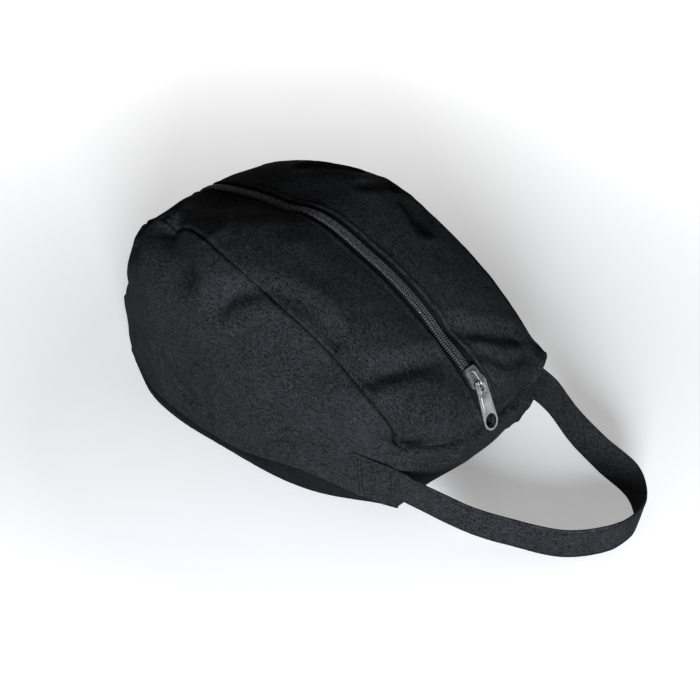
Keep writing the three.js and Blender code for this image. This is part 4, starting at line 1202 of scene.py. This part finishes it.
# Pull
# A flat cast pull that hangs from the slider's bridge by its bar: two ears, a window that the bridge
# passes through, a low raised panel and a round hole at the end.
TAB_LENGTH, TAB_WIDTH, TAB_NECK, TAB = 50.0, 18.5, 14.0, 2.0
TAB_RIM, TAB_WINDOW, TAB_RISE = 2.0, 9.5, 0.4
TAB_SHOULDER, BAR_INSET = 1.6, 1.0
pivot = slider_origin + slider_ahead * BAR_AT + slider_up * BAR_HEIGHT
tab_ahead = slider_ahead * math.cos(HANG) - slider_up * math.sin(HANG)
tab_up = slider_up * math.cos(HANG) + slider_ahead * math.sin(HANG)
tab_matrix = placing(pivot, tab_ahead, tab_up)
tab_round = TAB_WIDTH / 2
tab_centre = TAB_LENGTH - tab_round
window_half = BRIDGE_WIDTH / 2 + 1.0


def arc(centre, radius, start, stop, count):
    return [(centre + radius * math.cos(a), radius * math.sin(a)) for a in np.linspace(start, stop, count)]


neck = TAB_NECK / 2
flare = (tab_round - neck) / (tab_centre - TAB_SHOULDER)
tab_half = [(0, neck - 1.2), (0.5, neck - 0.4), (TAB_SHOULDER, neck)]
tab_half += [(x, neck + flare * (x - TAB_SHOULDER)) for x in (12, 24, 34)]
tab_half += arc(tab_centre, tab_round, math.pi / 2, 0.02, 18)
hole_loop = arc(tab_centre, tab_round - TAB_RIM, 0, 2 * math.pi, 41)[:-1]
window_loop = arc(TAB_WINDOW - window_half, window_half, -math.pi / 2, math.pi / 2, 15)
window_loop += [(1.2, window_half), (1.2, -window_half)]
tab_plate = prism([both_sides(tab_half), hole_loop, window_loop], -TAB / 2, TAB / 2)
panel_start, panel_end = TAB_WINDOW + 2.6, tab_centre - tab_round + 0.6
panel_half = [
    (panel_start, 1.5), (panel_start + 0.5, 3.6), (panel_start + 2.2, neck - 1.9),
    (panel_end - 1.6, neck - 1.0), (panel_end - 0.2, 5.0),
]
panel_half += [(panel_end - 1.6 + 0.2 * k, 4.0 - k) for k in range(0, 4)]
raised = prism([both_sides(panel_half)], 0.0, TAB / 2 + TAB_RISE)
bar_path = [np.array([0, y, 0.0]) for y in (-neck + BAR_INSET, -3, 0, 3, neck - BAR_INSET)]
bar_points, bar_faces = tube([p * MM for p in bar_path], BAR * MM, 16, np.array([1.0, 0, 0]))
bar_mesh = bpy.data.meshes.new("bar")
bar_mesh.from_pydata([tuple(p) for p in bar_points], [], bar_faces)
pull_parts = [(tab_plate, 0.45), (raised, 0.3), (bar_mesh, 0.2)]
pull_piece = metal_piece("pull", pull_parts, tab_matrix, "pull")
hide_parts("pull_tab")


# Carry strap
# A long strip of the same cloth, folded to a flat strap with its edges turned in and stitched along both
# sides. Each end is sewn on the side panel by a stitched rectangle, and the loop stands on its edge.
STRAP_WIDTH, STRAP, STRAP_REACH = 38.0, 2.4, 142.0
STRAP_LEAN = math.radians(10)
STRAP_GAP, FLOOR_GAP = 0.7, 0.1
STRAP_FROM, STRAP_TO = 2.785, 2.995
STRAP_SEAT_LOW, STRAP_SEAT_WIDE = (0.55, 0.97), (1.5, 1.0)
STRAP_PATH = (
    # out from the body's front (of the reach), side (of half the width), lift (of the strap's width)
    (-0.03, -0.7, 0.84), (0.1, -0.6, 0.5), (0.25, -0.49, 0.18), (0.48, -0.37, 0.03), (0.8, -0.21, 0),
    (0.96, 0.0, 0), (1.0, 0.136, 0), (0.98, 0.33, 0), (0.78, 0.56, 0), (0.46, 0.65, 0.08),
    (0.2, 0.68, 0.42), (-0.02, 0.715, 0.86),
)
STRAP_ACROSS = 22
STRAP_END_ROWS, STRAP_LOOP_ROWS = 22, 230
CHANNEL_AT = 3.4


def wall_point(t, height, side):
    """The dented wall at a height, on the near (1) or far (-1) side, in front of the strap's ends."""
    t, height = np.broadcast_arrays(np.asarray(t, float), np.asarray(height, float))
    point = skirt(t, 1 - height / belt_line(t)[..., 2])
    point = point * np.array([1, side, 1])
    step = 1e-4

    def plain(u, v):
        return skirt(u, 1 - v / belt_line(u)[..., 2]) * np.array([1, side, 1])

    ahead = plain(t + step, height) - plain(t - step, height)
    normal = np.cross(ahead, plain(t, height + 1e-2) - plain(t, height - 1e-2))
    normal /= np.linalg.norm(normal, axis=-1, keepdims=True)
    outwards = point - np.array([0, 0, HEIGHT / 3])
    outwards[..., 0] = 0
    normal *= np.sign(np.sum(normal * outwards, -1, keepdims=True))
    return point - normal * dent(point)[..., None], normal


def sewn_rows(side, turns):
    share = (turns - STRAP_FROM) / (STRAP_TO - STRAP_FROM)
    low = STRAP_WIDTH * along(STRAP_SEAT_LOW, share)
    wide = STRAP_WIDTH * along(STRAP_SEAT_WIDE, share)
    heights = low[:, None] + wide[:, None] * np.linspace(0, 1, STRAP_ACROSS + 1)[None, :]
    point, normal = wall_point(turns[:, None], heights, side)
    under = point + normal * STRAP_GAP
    return under, under + normal * STRAP


def rope_curve(points, share):
    """A smooth curve through points, spaced by the square roots of their distances."""
    points = np.asarray(points, float)
    last = len(points) - 1
    x = min(max(share, 0), 1) * last
    i = min(int(x), last - 1)
    w = x - i
    p1, p2 = points[i], points[i + 1]
    p0 = points[i - 1] if i > 0 else 2 * points[0] - points[1]
    p3 = points[i + 2] if i + 2 <= last else 2 * points[-1] - points[-2]
    d0, d1, d2 = (max(np.linalg.norm(b - a), 1e-8) ** 0.5 for a, b in ((p0, p1), (p1, p2), (p2, p3)))
    m1 = ((p1 - p0) / d0 - (p2 - p0) / (d0 + d1) + (p2 - p1) / d1) * d1
    m2 = ((p2 - p1) / d1 - (p3 - p1) / (d1 + d2) + (p3 - p2) / d2) * d1
    a = 2 * p1 - 2 * p2 + m1 + m2
    b = -3 * p1 + 3 * p2 - 2 * m1 - m2
    return a * w**3 + b * w**2 + m1 * w + p1


coarse_turns = np.linspace(STRAP_FROM, STRAP_TO, 5)
end_turns = np.linspace(STRAP_FROM, STRAP_TO, STRAP_END_ROWS + 1)
lift = STRAP * math.sin(STRAP_LEAN) + FLOOR_GAP
path = np.array([
    (LENGTH / 2 + out * STRAP_REACH, side * WIDTH / 2, up * STRAP_WIDTH + lift)
    for out, side, up in STRAP_PATH
])
near_under, near_top = sewn_rows(1, coarse_turns)
far_under, far_top = sewn_rows(-1, coarse_turns)
up_axis = np.array([0, 0, 1.0])
low_points = [*near_under[-2:, 0], *path, *far_under[-1:-3:-1, 0]]
last = len(low_points) - 1
leaning = []
for i, point in enumerate(path):
    share = (i + 2) / last
    way = rope_curve(low_points, share + 1e-4) - rope_curve(low_points, share - 1e-4)
    out = np.cross(way, up_axis)
    out /= np.linalg.norm(out)
    leaning.append(point + STRAP_WIDTH * (up_axis * math.cos(STRAP_LEAN) + out * math.sin(STRAP_LEAN)))
high_points = [*near_under[-2:, -1], *leaning, *far_under[-1:-3:-1, -1]]
loop_under, loop_top = [], []
for share in np.linspace(1 / last, 1 - 1 / last, STRAP_LOOP_ROWS + 1)[1:-1]:
    low = rope_curve(low_points, share)
    low[2] = max(low[2], lift)
    high = rope_curve(high_points, share)
    way = rope_curve(low_points, share + 1e-4) - rope_curve(low_points, share - 1e-4)
    out = np.cross(way, high - low)
    out /= np.linalg.norm(out)
    row = low + (high - low) * np.linspace(0, 1, STRAP_ACROSS + 1)[:, None]
    loop_under.append(row)
    loop_top.append(row + out * STRAP)
near_under, near_top = sewn_rows(1, end_turns)
far_under, far_top = sewn_rows(-1, end_turns)
strap_under = np.concatenate([near_under, loop_under, far_under[::-1]])
strap_top = np.concatenate([near_top, loop_top, far_top[::-1]])

# Rounded edges, stitched channels beside them, and a little waviness
strap_share = np.linspace(0, 1, STRAP_ACROSS + 1)
edge_away = np.minimum(strap_share, 1 - strap_share) * STRAP_WIDTH
middle_line = (strap_under + strap_top)[:, STRAP_ACROSS // 2] / 2
strap_length = np.concatenate([[0], np.cumsum(np.linalg.norm(np.diff(middle_line, axis=0), axis=1))])


def strap_swell(length, share):
    wide = noise.noise(Vector((length / 30, share * 1.6, 5.0))) * 0.35
    return wide + noise.noise(Vector((length / 9, share * 3, 9.0))) * 0.12


swell_rows = np.array([[strap_swell(length, share) for share in strap_share] for length in strap_length])
thin = 0.75 * np.exp(-((edge_away / 0.9) ** 2)) + 0.28 * np.exp(-((edge_away - CHANNEL_AT) ** 2))
strap_out = strap_top - strap_under
strap_out /= np.linalg.norm(strap_out, axis=-1, keepdims=True)
free_share = np.clip((np.arange(len(strap_top)) - STRAP_END_ROWS) / 12, 0, 1)
free_share = np.minimum(free_share, free_share[::-1])[:, None]
strap_top = strap_top + strap_out * (swell_rows * free_share - thin[None, :])[..., None]
strap_under = strap_under + strap_out * (swell_rows * free_share + 0.4 * thin[None, :])[..., None]
strap_top[..., 2] = np.maximum(strap_top[..., 2], FLOOR_GAP)
strap_under[..., 2] = np.maximum(strap_under[..., 2], FLOOR_GAP)

STRAP_BLACK, STRAP_PITCH = (0.0124, 0.0130, 0.0141), 0.0011
strap_cloth = woven_material("strap_cloth", STRAP_BLACK, STRAP_PITCH, 1.6, 0.6, 0.0015, 1.5)
strap_flat = flat_places(strap_top)
strap_order = strap_top[:, ::-1].reshape(-1, 3)
cells = grid_cells(*strap_top.shape[:2], strap_flat[:, ::-1])
strap_back = strap_under[:, ::-1].reshape(-1, 3)
strap_piece = thick_sheet("strap", cells, strap_order, strap_back, strap_cloth)
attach(strap_piece, "bag")
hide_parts("carry_strap")

# Stitch rows along both edges of the strap and round its sewn ends
outer_cells = [cell for cell, _ in cells]
strap_tree = bvhtree.BVHTree.FromPolygons([tuple(p) for p in strap_order], outer_cells)


def strap_line(column_share):
    """A line along the strap's outer face at a share of its width."""
    column = column_share * STRAP_ACROSS
    j = min(int(column), STRAP_ACROSS - 1)
    return strap_top[:, j] * (1 - column + j) + strap_top[:, j + 1] * (column - j)


def no_side(spot):
    return spot + up_axis


CHANNEL_SHARE = CHANNEL_AT / STRAP_WIDTH
END_THREAD = 0.55
rows = []
for share in (CHANNEL_SHARE, 1 - CHANNEL_SHARE):
    rows.append(stitch_row(strap_line(share), 0.0, strap_tree, no_side))
for row_number in (2, 4, STRAP_END_ROWS - 2):
    for row in (strap_top[row_number, 1:-1], strap_top[-1 - row_number, 1:-1]):
        rows.append(stitch_row(row, 0.0, strap_tree, no_side, END_THREAD))
stitch_piece("stitches_strap", rows)
